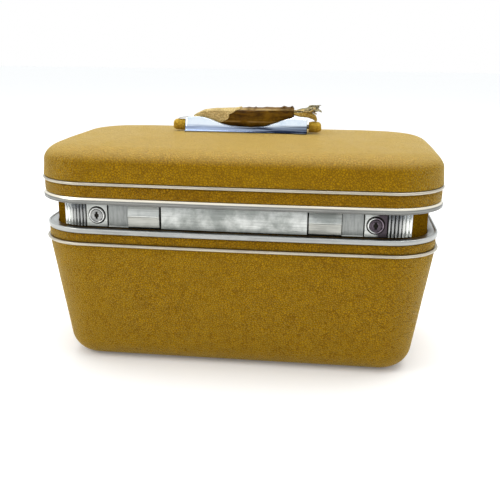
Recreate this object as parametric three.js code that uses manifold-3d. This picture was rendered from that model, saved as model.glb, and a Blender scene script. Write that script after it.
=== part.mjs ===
// A hard-sided makeup train case: vinyl-covered shells with aluminium trims, a recessed neck that
// carries the latch panel, a lid hinged at the back, and a strap handle over a chrome saddle.
// Millimetres, +Z up, front towards -Y, origin at the middle of the underside.
import * as THREE from "three";
import { mergeVertices } from "three/addons/utils/BufferGeometryUtils.js";
import Module from "manifold-3d";

const wasm = await Module();
wasm.setup();

// ---- Driving dimensions ----
const CASE_WIDTH = 380; // over the lid frame
const CASE_DEPTH = 210;
const CASE_HEIGHT = 219; // to the crown of the lid, without the handle
const FRONT_BOW = 4; // how far the long sides bulge
const SIDE_BOW = 2;
const GAP = 0.3; // between pieces that touch

// Heights of the horizontal joints, from the bottom up.
const BODY_TOP = 120.7;
const BASE_BEAD_BOTTOM = 121;
const BASE_BEAD_TOP = 124;
const BASE_FRAME_BOTTOM = 132.6;
const SHELF_TOP = 136.8;
const BASE_FRAME_TOP = 137.6;
const PANEL_BOTTOM = 138.3;
const PANEL_TOP = 160;
const LID_FRAME_BOTTOM = 161.3;
const LID_FRAME_TOP = 167.3;
const NECK_TOP = 168;
const LID_BEAD_BOTTOM = 178.5;
const LID_BEAD_TOP = 181.5;
const LID_WALL_TOP = 196.5;
const CROWN_RISE = 6;

// Plan outlines: half width, half depth and corner radius.
const LID_PLAN = { w: CASE_WIDTH / 2, d: CASE_DEPTH / 2, r: 50 };
const NECK_PLAN = { w: 177.5, d: 91.8, r: 37 };
const BODY_PLAN = { w: 185.5, d: 100.5, r: 42 };
const FOOT_PLAN = { w: 168.4, d: 85.9, r: 30 };
const BOTTOM_EDGE_RADIUS = 19.3;
const LID_BEND_WIDTH = 24;
const WALL = 5.5;
const FLOOR = 5;
const NECK_WALL = 2.5;
const NECK_BOTTOM = 122;
const NECK_SEAT = 119; // ledge in the base that the neck stands over
const NECK_CLEARANCE = 1.4;
const TRIM_SEAT = 1.5; // depth of the rebates that the vinyl stripes sit in
const LINING_SKIN = 1.5;
const LINING_GAP = 0.4;
const LINING_TOP = 164;

// Latch panel: places along the front, measured from the middle.
const CENTRE_PLATE_END = 67.3;
const SLIDER_START = 68.6;
const SLIDER_END = 98;
const WELL_END = 118;
const LOCK_PLATE_END = 138.5;
const FLUTED_END = 160.5;
const PLATE_FRONT = 2; // plates stand this far off the neck
const WELL_FRONT = 1;
const LATCH_TRAVEL = 10;
const LOCK_X = (WELL_END + LOCK_PLATE_END) / 2;
const LOCK_Z = (PANEL_BOTTOM + PANEL_TOP) / 2;

// Hinges.
const HINGE_X = 100;
const HINGE_LENGTH = 44;
const HINGE_Y = 99;
const HINGE_Z = 157;
const KNUCKLE_RADIUS = 2.6;
const HINGE_BORE_RADIUS = 1.5;
const HINGE_PIN_RADIUS = 1.2;
const HINGE_SLACK = 0.25; // at each end of a knuckle
const LEAF_THICKNESS = 1.2;
const LEAF_BOTTOM = 139.5;
const RIVET_STEP = 14;
const RIVET_Z = 145;
const RIVET_HOLE_RADIUS = 1.8;

// Handle. The saddle's top edges are hollowed in the middle and rounded off at the shoulders: [x, z].
const SADDLE_HALF_DEPTH = 12;
const SADDLE_TOP = [
  [0, 223.7],
  [10, 224],
  [20, 225.3],
  [30, 228.4],
  [38, 231.3],
  [44, 232.9],
  [50, 233.3],
  [61, 232.3],
];
const SADDLE_DISH = 2.2; // between its long edges the top is dished for the grip
const SADDLE_LEAN_FROM = 223; // above this height the long faces lean inwards
const SADDLE_LEAN = 0.3;
const SADDLE_FOOT = 215; // sunk into the crown, which trims it to shape
const FLANGE_HALF_DEPTH = 16;
const FLANGE_TOP = 220.3;
const SCREW_X = 44;
const SCREW_HOLE_RADIUS = 2.6;
const STRAP_PIN_RADIUS = 2;
const STRAP_PIN_START = 51.5;
const KNOB_Z = 224.6;
const KNOB_RADIUS = 5.5;
const KNOB_START = 62.4;
const KNOB_END = 75;
const KNOB_BORE_RADIUS = 2.5;
const KNOB_BORE_DEPTH = 6;

// Colours.
const MUSTARD = 0x8a640f;
const ALUMINIUM = 0xb9b6ad;
const SATIN = 0xaab0ac;
const CHROME = 0xb8c6d6;
const LINING = 0xb99a62;
const CREAM = 0xd8ccb0;
const BROWN = 0x3f2408;
const STEEL = 0x8d8f90;
const GLASS = 0xcfd8dc;

const group = new THREE.Group();

function add(name, geometry, color, roughness, metalness) {
  const material = new THREE.MeshStandardMaterial({ color, roughness, metalness });
  const mesh = new THREE.Mesh(geometry, material);
  mesh.name = name;
  group.add(mesh);
  return mesh;
}

// ---- Joining and cutting ----
function toSolid(geometry) {
  const bare = geometry.clone();
  bare.deleteAttribute("normal");
  bare.deleteAttribute("uv");
  const merged = mergeVertices(bare, 1e-4);
  const vertProperties = new Float32Array(merged.attributes.position.array);
  const triVerts = new Uint32Array(merged.index.array);
  return new wasm.Manifold(new wasm.Mesh({ numProp: 3, vertProperties, triVerts }));
}

function toGeometry(solid) {
  const mesh = solid.getMesh();
  const geometry = new THREE.BufferGeometry();
  geometry.setAttribute("position", new THREE.BufferAttribute(mesh.vertProperties, 3));
  geometry.setIndex(new THREE.BufferAttribute(mesh.triVerts, 1));
  return geometry;
}

function cut(geometry, tools) {
  return toGeometry(tools.reduce((solid, tool) => solid.subtract(toSolid(tool)), toSolid(geometry)));
}

function join(pieces) {
  return toGeometry(pieces.map(toSolid).reduce((all, piece) => all.add(piece)));
}

// ---- Basic shapes ----
function box(x0, x1, y0, y1, z0, z1) {
  const geometry = new THREE.BoxGeometry(Math.abs(x1 - x0), Math.abs(y1 - y0), Math.abs(z1 - z0));
  return geometry.translate((x0 + x1) / 2, (y0 + y1) / 2, (z0 + z1) / 2);
}

// A turned solid whose axis is the given one; profile points are (radius, distance along the axis).
function turned(profile, axis, sides = 20) {
  const points = profile.map(([radius, along]) => new THREE.Vector2(radius, along));
  const geometry = new THREE.LatheGeometry(points, sides);
  if (axis === "x") geometry.rotateZ(-Math.PI / 2);
  if (axis === "z") geometry.rotateX(Math.PI / 2);
  return geometry;
}

function rod(radius, from, to, axis, sides = 20) {
  return turned([[0, from], [radius, from], [radius, to], [0, to]], axis, sides);
}

function prismAlongX(points, x0, x1) {
  const shape = new THREE.Shape(points.map(([y, z]) => new THREE.Vector2(y, z)));
  const geometry = new THREE.ExtrudeGeometry(shape, { depth: x1 - x0, bevelEnabled: false });
  return geometry.rotateZ(Math.PI / 2).rotateY(Math.PI / 2).translate(x0, 0, 0);
}

function prismAlongY(points, y0, y1) {
  const shape = new THREE.Shape(points.map(([x, z]) => new THREE.Vector2(x, z)));
  const geometry = new THREE.ExtrudeGeometry(shape, { depth: y1 - y0, bevelEnabled: false });
  return geometry.rotateX(Math.PI / 2).translate(0, y1, 0);
}

function prismAlongZ(points, z0, z1) {
  const shape = new THREE.Shape(points.map(([x, y]) => new THREE.Vector2(x, y)));
  const geometry = new THREE.ExtrudeGeometry(shape, { depth: z1 - z0, bevelEnabled: false });
  return geometry.translate(0, 0, z0);
}

// ---- Bowed rounded rectangles and the bodies swept round them ----
function inset(plan, distance) {
  return { w: plan.w - distance, d: plan.d - distance, r: Math.max(plan.r - distance, 6) };
}

function between(a, b, t) {
  const mix = (key) => a[key] + (b[key] - a[key]) * t;
  return { w: mix("w"), d: mix("d"), r: mix("r") };
}

// One level of a body: the plan outline at a height, counter-clockwise seen from above.
function level(plan, z, { bow = 1, scale = 1, corner = 5 } = {}) {
  const { w, d, r } = plan;
  const flat = [];
  const arc = (cx, cy, from) => {
    for (let i = 0; i <= corner; i++) {
      const angle = from + ((Math.PI / 2) * i) / corner;
      flat.push([cx + r * Math.cos(angle), cy + r * Math.sin(angle)]);
    }
  };
  const run = (x0, y0, x1, y1, steps) => {
    for (let i = 1; i < steps; i++) {
      flat.push([x0 + ((x1 - x0) * i) / steps, y0 + ((y1 - y0) * i) / steps]);
    }
  };
  arc(w - r, d - r, 0);
  run(w - r, d, r - w, d, 6);
  arc(r - w, d - r, Math.PI / 2);
  run(-w, d - r, -w, r - d, 3);
  arc(r - w, r - d, Math.PI);
  run(r - w, -d, w - r, -d, 6);
  arc(w - r, r - d, -Math.PI / 2);
  run(w, r - d, w, d - r, 3);
  return flat.map(([x, y]) => {
    const bulgeY = Math.sign(y) * bow * FRONT_BOW * (1 - (x / w) ** 2);
    const bulgeX = Math.sign(x) * bow * SIDE_BOW * (1 - (y / d) ** 2);
    return new THREE.Vector3(scale * (x + bulgeX), scale * (y + bulgeY), z);
  });
}

// Skins a list of rings. An open loft is closed by a fan at each end; a closed one joins end to start.
function loft(rings, closed = false) {
  const count = rings[0].length;
  const position = rings.flat().flatMap((p) => [p.x, p.y, p.z]);
  const index = [];
  const last = closed ? rings.length : rings.length - 1;
  for (let k = 0; k < last; k++) {
    const low = k * count;
    const high = ((k + 1) % rings.length) * count;
    for (let i = 0; i < count; i++) {
      const j = (i + 1) % count;
      index.push(low + i, low + j, high + j, low + i, high + j, high + i);
    }
  }
  if (!closed) {
    const cap = (ring, start, turn) => {
      const centre = ring.reduce((sum, p) => sum.add(p), new THREE.Vector3()).divideScalar(count);
      const hub = position.length / 3;
      position.push(centre.x, centre.y, centre.z);
      for (let i = 0; i < count; i++) {
        const j = (i + 1) % count;
        index.push(hub, start + (turn ? i : j), start + (turn ? j : i));
      }
    };
    cap(rings[0], 0, false);
    cap(rings[rings.length - 1], (rings.length - 1) * count, true);
  }
  const geometry = new THREE.BufferGeometry();
  geometry.setAttribute("position", new THREE.Float32BufferAttribute(position, 3));
  geometry.setIndex(index);
  return geometry;
}

// A trim that runs right round the case; section points are [plan, inset, height], going up outside.
function hoop(section) {
  return loft(section.map(([plan, distance, z]) => level(inset(plan, distance), z)), true);
}

// A point on the neck's front, pushed outwards; past the corner's start it follows the corner arc.
function neckPoint(x, outwards) {
  const { w, d, r } = NECK_PLAN;
  const bulge = FRONT_BOW * (1 - (x / w) ** 2);
  const past = Math.max(Math.abs(x) - (w - r), 0);
  const angle = Math.asin(past / r);
  const along = Math.abs(x) - past + (past ? (r + outwards) * Math.sin(angle) : 0);
  const across = past ? d - r + (r + outwards) * Math.cos(angle) : d + outwards;
  return [Math.sign(x) * along, -(across + bulge)];
}

// A plate that lies along the neck's front from x0 to x1, between two distances off the neck.
function panelPlate(x0, x1, inner, outer, z0, z1, steps) {
  const at = (i) => x0 + ((x1 - x0) * i) / steps;
  const points = [];
  for (let i = 0; i <= steps; i++) points.push(neckPoint(at(i), outer));
  for (let i = steps; i >= 0; i--) points.push(neckPoint(at(i), inner));
  return prismAlongZ(points, z0, z1);
}

// The same with upright ribs along its outer face.
function flutedPlate(side) {
  const ribs = 7;
  const length = FLUTED_END - LOCK_PLATE_END - GAP;
  const points = [];
  for (let i = 0; i < ribs; i++) {
    const start = LOCK_PLATE_END + GAP + (length * i) / ribs;
    for (const [share, outer] of [[0.08, 1], [0.3, 2.9], [0.7, 2.9], [0.92, 1]]) {
      points.push(neckPoint(side * (start + (share * length) / ribs), outer));
    }
  }
  for (let i = 4; i >= 0; i--) {
    points.push(neckPoint(side * (LOCK_PLATE_END + GAP + (length * i) / 4), GAP));
  }
  return prismAlongZ(points, PANEL_BOTTOM, PANEL_TOP);
}

// ---- Base ----
const MID_HEIGHT = 70;
const INNER_EDGE = [[20, 0], [9, 4]]; // heights and extra inset of the rounded inner bottom edge
const FLOOR_PULL = 14;
const bodyPlanAt = (z) => between(FOOT_PLAN, BODY_PLAN, z / BODY_TOP);

function bodyLevel(z, distance, lift = 0) {
  return level(inset(bodyPlanAt(z), distance), z + lift, { bow: z / BODY_TOP });
}

function baseShell() {
  const rings = [];
  const edgeSteps = 5;
  for (let i = 0; i <= edgeSteps; i++) {
    const angle = ((Math.PI / 2) * (edgeSteps - i)) / edgeSteps;
    const z = BOTTOM_EDGE_RADIUS * (1 - Math.sin(angle));
    const pull = BOTTOM_EDGE_RADIUS * (1 - Math.cos(angle));
    rings.push(level(inset(bodyPlanAt(z), pull), z, { bow: z / BODY_TOP }));
  }
  const top = BASE_FRAME_BOTTOM - GAP;
  rings.push(bodyLevel(MID_HEIGHT, 0));
  rings.push(level(BODY_PLAN, BODY_TOP));
  rings.push(level(inset(BODY_PLAN, TRIM_SEAT), BODY_TOP));
  rings.push(level(inset(BODY_PLAN, TRIM_SEAT), top));
  rings.push(level(inset(NECK_PLAN, -2 * GAP), top));
  rings.push(level(inset(NECK_PLAN, -2 * GAP), NECK_SEAT));
  rings.push(bodyLevel(NECK_SEAT - 2, WALL));
  rings.push(bodyLevel(MID_HEIGHT, WALL));
  for (const [z, pull] of INNER_EDGE) rings.push(bodyLevel(z, WALL + pull));
  rings.push(level(inset(bodyPlanAt(FLOOR), WALL + FLOOR_PULL), FLOOR, { bow: 0 }));
  return loft(rings);
}

function baseLining() {
  const off = WALL + LINING_GAP;
  const neckIn = NECK_WALL + LINING_GAP;
  const shoulder = NECK_SEAT - 3;
  const outer = [
    level(inset(bodyPlanAt(FLOOR), off + FLOOR_PULL), FLOOR + LINING_GAP, { bow: 0 }),
    ...[...INNER_EDGE].reverse().map(([z, pull]) => bodyLevel(z, off + pull, LINING_GAP)),
    bodyLevel(MID_HEIGHT, off),
    bodyLevel(shoulder, off),
    level(inset(NECK_PLAN, neckIn), NECK_SEAT + 2),
    level(inset(NECK_PLAN, neckIn), LINING_TOP),
  ];
  const within = off + LINING_SKIN;
  const inner = [
    level(inset(NECK_PLAN, neckIn + LINING_SKIN), LINING_TOP),
    level(inset(NECK_PLAN, neckIn + LINING_SKIN), NECK_SEAT + 1.4),
    bodyLevel(shoulder - 1, within, LINING_GAP),
    bodyLevel(MID_HEIGHT, within),
    ...INNER_EDGE.map(([z, pull]) => bodyLevel(z + 1.2, within + pull, LINING_GAP)),
    level(inset(bodyPlanAt(FLOOR), within + FLOOR_PULL), FLOOR + LINING_GAP + LINING_SKIN, { bow: 0 }),
  ];
  return loft([...outer, ...inner]);
}

const rivetPlaces = [];
for (const side of [-1, 1]) {
  for (const step of [-1, 1]) rivetPlaces.push([side, side * HINGE_X + step * RIVET_STEP]);
}
const rivetHole = ([, x]) => rod(RIVET_HOLE_RADIUS, 80, 110, "y", 12).translate(x, 0, RIVET_Z);

// The stem that joins each latch slider to its bolt, and the hole for each lock plug.
const STEM = { from: 80, to: 86, low: 146, high: 152 };
const PLUG_HOLE_RADIUS = 4.8;
const plugHole = (side) => rod(PLUG_HOLE_RADIUS, -105, -85, "y", 16).translate(side * LOCK_X, 0, LOCK_Z);
const neckBackAt = (x) => NECK_PLAN.d + FRONT_BOW * (1 - (x / NECK_PLAN.w) ** 2);

function neck() {
  const ring = hoop([
    [NECK_PLAN, 0, NECK_BOTTOM],
    [NECK_PLAN, 0, NECK_TOP - 0.8],
    [NECK_PLAN, 0.8, NECK_TOP],
    [NECK_PLAN, NECK_WALL, NECK_TOP],
    [NECK_PLAN, NECK_WALL, NECK_BOTTOM],
  ]);
  const tools = rivetPlaces.map(rivetHole);
  for (const side of [-1, 1]) {
    const slotFrom = side * (STEM.from - 1.5);
    const slotTo = side * (STEM.to + 1.5 + LATCH_TRAVEL);
    tools.push(box(slotFrom, slotTo, -105, -85, STEM.low - 1, STEM.high + 1));
    tools.push(plugHole(side));
  }
  return cut(ring, tools);
}

// The lining is cut away behind each latch and lock.
const latchWindow = (side) => box(side * 56, side * 141, -100, -80, LEAF_BOTTOM, LINING_TOP + 2);

// A thin trim between two heights, from its seat out to its face, with rounded outer edges.
function bead(plan, seat, face, low, high) {
  const round = Math.min(0.7, (high - low) / 3);
  return hoop([
    [plan, seat, low],
    [plan, face + 0.6, low],
    [plan, face, low + round],
    [plan, face, high - round],
    [plan, face + 0.6, high],
    [plan, seat, high],
  ]);
}

// The vinyl stripe above a bead, flush with the wall around it.
function stripe(plan, seat, face, low, high) {
  return hoop([[plan, seat, low], [plan, face, low], [plan, face, high], [plan, seat, high]]);
}

const BASE_SEAT = TRIM_SEAT - GAP;
const BASE_BEAD_REACH = -2.5; // the base bead stands proud of the wall
const BASE_STRIPE_TOP = BASE_FRAME_BOTTOM - GAP;
add("base_shell", baseShell(), MUSTARD, 0.55, 0);
add(
  "base_bead",
  bead(BODY_PLAN, BASE_SEAT, BASE_BEAD_REACH, BASE_BEAD_BOTTOM, BASE_BEAD_TOP),
  ALUMINIUM, 0.35, 1,
);
add("base_stripe", stripe(BODY_PLAN, BASE_SEAT, 0, BASE_BEAD_TOP + GAP, BASE_STRIPE_TOP), MUSTARD, 0.55, 0);
add(
  "base_frame",
  hoop([
    [LID_PLAN, 3.2, BASE_FRAME_BOTTOM],
    [LID_PLAN, 2.7, BASE_FRAME_BOTTOM + 0.6],
    [LID_PLAN, 2.7, BASE_FRAME_TOP - 0.7],
    [LID_PLAN, 3.3, BASE_FRAME_TOP],
    [LID_PLAN, 4.8, BASE_FRAME_TOP],
    [LID_PLAN, 5.6, SHELF_TOP],
    [NECK_PLAN, -GAP, SHELF_TOP],
    [NECK_PLAN, -GAP, BASE_FRAME_BOTTOM],
  ]),
  ALUMINIUM, 0.4, 1,
);
add("neck", neck(), MUSTARD, 0.55, 0);
add("base_lining", cut(baseLining(), [latchWindow(-1), latchWindow(1)]), LINING, 0.9, 0);

// A ledge round the inside that the tray rests on.
const LEDGE_TOP = 127;
const LEDGE_OUTER = NECK_WALL + LINING_GAP + LINING_SKIN + GAP;
const LEDGE_INNER = 11;
const ledgeSection = [
  [NECK_PLAN, LEDGE_OUTER, LEDGE_TOP - 4],
  [NECK_PLAN, LEDGE_OUTER, LEDGE_TOP],
  [NECK_PLAN, LEDGE_INNER, LEDGE_TOP],
  [NECK_PLAN, LEDGE_INNER, LEDGE_TOP - 2],
];
add("tray_ledge", hoop(ledgeSection), CREAM, 0.7, 0);

// The gathered pocket on the back wall: a thin sheet bowed forwards, with a band along its top.
const POCKET_HALF = 138;
const POCKET_BACK = 80;
const POCKET_BOW = 12;
const POCKET_BOTTOM = 28;
const POCKET_TOP = 92;
const ELASTIC_TOP = 99;

function pocketSheet(thickness, z0, z1, ahead) {
  const steps = 12;
  const points = [];
  const at = (i) => -POCKET_HALF + (2 * POCKET_HALF * i) / steps;
  const y = (x) => POCKET_BACK - ahead - POCKET_BOW * (1 - (x / POCKET_HALF) ** 4);
  for (let i = 0; i <= steps; i++) points.push([at(i), y(at(i))]);
  for (let i = steps; i >= 0; i--) points.push([at(i), y(at(i)) + thickness]);
  return prismAlongZ(points, z0, z1);
}
add("back_pocket", pocketSheet(1.5, POCKET_BOTTOM, POCKET_TOP, 0), LINING, 0.9, 0);
add("pocket_elastic", pocketSheet(2.5, POCKET_TOP + GAP, ELASTIC_TOP, 0.5), LINING, 0.9, 0);

// ---- Latch panel ----
add(
  "centre_plate",
  panelPlate(-CENTRE_PLATE_END, CENTRE_PLATE_END, GAP, PLATE_FRONT, PANEL_BOTTOM, PANEL_TOP, 8),
  SATIN, 0.45, 1,
);

const SLIDER_BACK = -96.4;
const SLIDER_LIP = -100.6; // the thumb lip stands furthest forward
const BOLT_BACK = -90.4;
const BOLT = { from: 72, to: 92, low: 143, high: 155 };
const STRIKE_BACK = -89.7;
const PLUG_FRONT = -97.6;
const RING_BACK = -96.15;
const span = (side, from, to) => [Math.min(side * from, side * to), Math.max(side * from, side * to)];

function latchSlider(side) {
  const lipZ = LOCK_Z + 0.6;
  const bottom = PANEL_BOTTOM + 1.3;
  const top = PANEL_TOP - 0.4;
  const face = prismAlongX(
    [
      [SLIDER_BACK, bottom],
      [SLIDER_BACK, top],
      [-97.9, top],
      [SLIDER_LIP, lipZ + 0.8],
      [SLIDER_LIP, lipZ],
      [-98.9, lipZ - 0.5],
      [-98.6, bottom],
    ],
    ...span(side, SLIDER_START, SLIDER_END),
  );
  const [stemFrom, stemTo] = span(side, STEM.from, STEM.to);
  const stem = box(stemFrom, stemTo, SLIDER_BACK - 0.5, BOLT_BACK - 0.6, STEM.low, STEM.high);
  const bolt = box(side * BOLT.from, side * BOLT.to, BOLT_BACK - 1.5, BOLT_BACK, BOLT.low, BOLT.high);
  return join([face, stem, bolt]);
}

// The strike hangs from the lid beside the bolt and is fixed by a flange over the neck's rim.
const STRIKE = { from: 62, to: 69.5, flangeTo: 82, front: -96.3, top: 171, thickness: 2 };

function latchStrike(side) {
  const { from, to, flangeTo, front, top, thickness } = STRIKE;
  const tongue = box(side * from, side * to, STRIKE_BACK - 1.5, STRIKE_BACK, BOLT.low, top);
  const flange = box(side * from, side * flangeTo, front, STRIKE_BACK, top - thickness, top);
  return join([tongue, flange]);
}

const PLUG_HEAD_RADIUS = 5.5;
const PLUG_SHAFT_RADIUS = 4.2;
const PLUG_HEAD = 1.3;
const CAM = { half: 2.5, down: -5, up: 11, front: -90.6, back: -89.1 };
const KEY_SLOT = { half: 0.8, reach: 3.2, depth: 2.6 };

function lockPlug(side) {
  const front = PLUG_FRONT;
  const r = PLUG_HEAD_RADIUS;
  const headProfile = [
    [0, front],
    [r - 0.6, front],
    [r, front + 0.5],
    [r, front + PLUG_HEAD],
    [0, front + PLUG_HEAD],
  ];
  const head = turned(headProfile, "y", 24);
  const shaft = rod(PLUG_SHAFT_RADIUS, front + 1, -90, "y", 16);
  const cam = box(-CAM.half, CAM.half, CAM.front, CAM.back, CAM.down, CAM.up);
  const { half, reach, depth } = KEY_SLOT;
  const keySlot = box(-half, half, front - 1, front + depth, -reach, reach);
  return cut(join([head, shaft, cam]), [keySlot]).translate(side * LOCK_X, 0, LOCK_Z);
}

const RING_INNER = PLUG_HEAD_RADIUS + 0.5;
const RING_OUTER = 7.8;
const RING_HEIGHT = 1.2;

function lockRing(side) {
  const back = RING_BACK;
  const face = back - RING_HEIGHT;
  const profile = [
    [RING_INNER, back],
    [RING_INNER, face + 0.4],
    [RING_INNER + 0.4, face],
    [RING_OUTER - 0.5, face],
    [RING_OUTER, face + 0.5],
    [RING_OUTER, back],
    [RING_INNER, back],
  ];
  return turned(profile, "y", 28).translate(side * LOCK_X, 0, LOCK_Z);
}

const LEDGE_HEIGHT = 1.1;
for (const [side, hand] of [[-1, "left"], [1, "right"]]) {
  const [wellFrom, wellTo] = span(side, SLIDER_END + GAP, WELL_END - GAP);
  const wellFloor = panelPlate(wellFrom, wellTo, GAP, WELL_FRONT, PANEL_BOTTOM, PANEL_TOP, 3);
  const ledgeTop = PANEL_BOTTOM + LEDGE_HEIGHT;
  const wellLedge = panelPlate(wellFrom, wellTo, GAP, PLATE_FRONT, PANEL_BOTTOM, ledgeTop, 3);
  const [lockFrom, lockTo] = span(side, WELL_END, LOCK_PLATE_END);
  const lockPlate = panelPlate(lockFrom, lockTo, GAP, PLATE_FRONT, PANEL_BOTTOM, PANEL_TOP, 3);
  add(`button_well_${hand}`, join([wellFloor, wellLedge]), STEEL, 0.5, 1);
  add(`lock_plate_${hand}`, cut(lockPlate, [plugHole(side)]), SATIN, 0.35, 1);
  add(`lock_ring_${hand}`, lockRing(side), CHROME, 0.2, 1);
  add(`lock_plug_${hand}`, lockPlug(side), CHROME, 0.3, 1);
  add(`fluted_end_${hand}`, flutedPlate(side), SATIN, 0.3, 1);
  add(`latch_slider_${hand}`, latchSlider(side), SATIN, 0.4, 1);
  add(`latch_strike_${hand}`, latchStrike(side), STEEL, 0.5, 1);
}

// ---- Hinges ----
const LID_LEAF_BACK = HINGE_Y + 7;
const LID_LEAF_BOTTOM = HINGE_Z + 1.6;

function knuckles(side, which) {
  const third = HINGE_LENGTH / 3;
  const middle = side * HINGE_X;
  const inner = third / 2 - HINGE_SLACK;
  const outer = third / 2 + HINGE_SLACK;
  const spans = {
    base: [[middle - inner, middle + inner]],
    lid: [
      [middle - HINGE_LENGTH / 2, middle - outer],
      [middle + outer, middle + HINGE_LENGTH / 2],
    ],
  }[which];
  return spans.map(([from, to]) => rod(KNUCKLE_RADIUS, from, to, "x", 16).translate(0, HINGE_Y, HINGE_Z));
}

function hingeLeaf(side, which) {
  const from = side * HINGE_X - HINGE_LENGTH / 2;
  const to = side * HINGE_X + HINGE_LENGTH / 2;
  const third = HINGE_LENGTH / 3;
  const bore = rod(HINGE_BORE_RADIUS, from - 1, to + 1, "x", 12).translate(0, HINGE_Y, HINGE_Z);
  if (which === "base") {
    const back = neckBackAt(HINGE_X - HINGE_LENGTH / 2) + GAP;
    const front = back + LEAF_THICKNESS;
    const plate = box(from, to, back, front, LEAF_BOTTOM, HINGE_Z - 3.2);
    const web = box(from + third + HINGE_SLACK, to - third - HINGE_SLACK, back, front, 150, HINGE_Z + 1);
    const holes = rivetPlaces.filter(([hand]) => hand === side).map(rivetHole);
    return cut(join([plate, web, ...knuckles(side, which)]), [bore, ...holes]);
  }
  const webs = [
    [from, side * HINGE_X - third / 2 - HINGE_SLACK],
    [side * HINGE_X + third / 2 + HINGE_SLACK, to],
  ].map(([a, b]) => box(a, b, HINGE_Y, LID_LEAF_BACK, LID_LEAF_BOTTOM, LID_FRAME_BOTTOM - 1.2));
  const plate = box(from, to, HINGE_Y + 3.6, LID_LEAF_BACK, LID_LEAF_BOTTOM, LID_FRAME_BOTTOM - GAP);
  return cut(join([...webs, plate, ...knuckles(side, which)]), [bore]);
}

for (const [side, hand] of [[-1, "left"], [1, "right"]]) {
  const from = side * HINGE_X - HINGE_LENGTH / 2 - 0.6;
  const to = side * HINGE_X + HINGE_LENGTH / 2 + 0.6;
  add(`hinge_base_leaf_${hand}`, hingeLeaf(side, "base"), STEEL, 0.4, 1);
  add(`hinge_lid_leaf_${hand}`, hingeLeaf(side, "lid"), STEEL, 0.4, 1);
  const pin = rod(HINGE_PIN_RADIUS, from, to, "x", 12).translate(0, HINGE_Y, HINGE_Z);
  add(`hinge_pin_${hand}`, pin, STEEL, 0.3, 1);
}

const RIVET_SHANK = 1.4;
const RIVET_HEAD = 2.6;

function rivet(x) {
  const seat = neckBackAt(HINGE_X - HINGE_LENGTH / 2) + GAP + LEAF_THICKNESS + 0.2;
  const inside = neckBackAt(x) - NECK_WALL + 0.2;
  const profile = [
    [0, inside],
    [RIVET_SHANK, inside],
    [RIVET_SHANK, seat],
    [RIVET_HEAD, seat],
    [RIVET_HEAD - 0.6, seat + 0.9],
    [0, seat + 1.2],
  ];
  return turned(profile, "y", 12).translate(x, 0, RIVET_Z);
}
rivetPlaces.forEach(([, x], i) => add(`hinge_rivet_${i + 1}`, rivet(x), STEEL, 0.4, 1));

// ---- Lid ----
const LID_WALL_PLAN = inset(LID_PLAN, 0.8);
const BEND_HEIGHT = CASE_HEIGHT - CROWN_RISE - LID_WALL_TOP;
const BEND_TURN = 0.93 * (Math.PI / 2);

// The skin from the wall's foot, round the bend and over the crown, moved in by a wall thickness.
function lidSkin(thickness, crownSteps) {
  const rings = [];
  const bendSteps = 6;
  let plan = LID_WALL_PLAN;
  let z = LID_WALL_TOP;
  for (let i = 0; i <= bendSteps; i++) {
    const angle = (BEND_TURN * i) / bendSteps;
    const pull = 1 + (LID_BEND_WIDTH - thickness) * (1 - Math.cos(angle)) + thickness;
    plan = { ...inset(LID_WALL_PLAN, pull), r: LID_WALL_PLAN.r - pull * 0.6 };
    z = LID_WALL_TOP + (BEND_HEIGHT - thickness) * Math.sin(angle);
    rings.push(level(plan, z));
  }
  for (const scale of crownSteps) {
    rings.push(level(plan, z + (CASE_HEIGHT - thickness - z) * (1 - scale ** 2), { scale }));
  }
  return rings;
}

const LID_WALL = 5;
const LID_REBATE = 3; // depth of the rebate for the lid's bead and stripe
const LID_STOP = 172; // top of the narrow lip that fits round the neck
const CROWN_STEPS = [0.8, 0.55, 0.25];

function lidShell() {
  const fit = inset(NECK_PLAN, -NECK_CLEARANCE - 0.4);
  const rim = [
    level(inset(LID_WALL_PLAN, LID_WALL + 0.6), LID_STOP + 4),
    level(fit, LID_STOP),
    level(fit, LID_FRAME_TOP + GAP),
    level(inset(LID_PLAN, LID_REBATE), LID_FRAME_TOP + GAP),
    level(inset(LID_PLAN, LID_REBATE), LID_BEAD_TOP + GAP),
    level(LID_WALL_PLAN, LID_BEAD_TOP + GAP),
  ];
  return loft([...lidSkin(LID_WALL, CROWN_STEPS).reverse(), ...rim, ...lidSkin(0, CROWN_STEPS)]);
}

const screwPlaces = [-SCREW_X, SCREW_X];
const SCREW_TOP = 223.4;
const SCREW_HEAD = { radius: 4.6, from: 208, to: 210.4 };
const LID_PANEL_Z = 205.5;

// The lining is padded out to a flat panel under the crown, which carries the mirror.
function lidLining() {
  const foot = LID_STOP + 4.5;
  const inner = [
    level(inset(LID_WALL_PLAN, 24), LID_PANEL_Z),
    level(inset(LID_WALL_PLAN, 14), LID_PANEL_Z - 4),
    level(inset(LID_WALL_PLAN, 9), LID_PANEL_Z - 12.5),
    level(inset(LID_WALL_PLAN, 7.5), foot),
    level(inset(LID_WALL_PLAN, 6.1), foot),
  ];
  return loft([...inner, ...lidSkin(LID_WALL + LINING_GAP, CROWN_STEPS)]);
}

function onScrews(make) {
  return screwPlaces.map((x) => make().translate(x, 0, 0));
}

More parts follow.
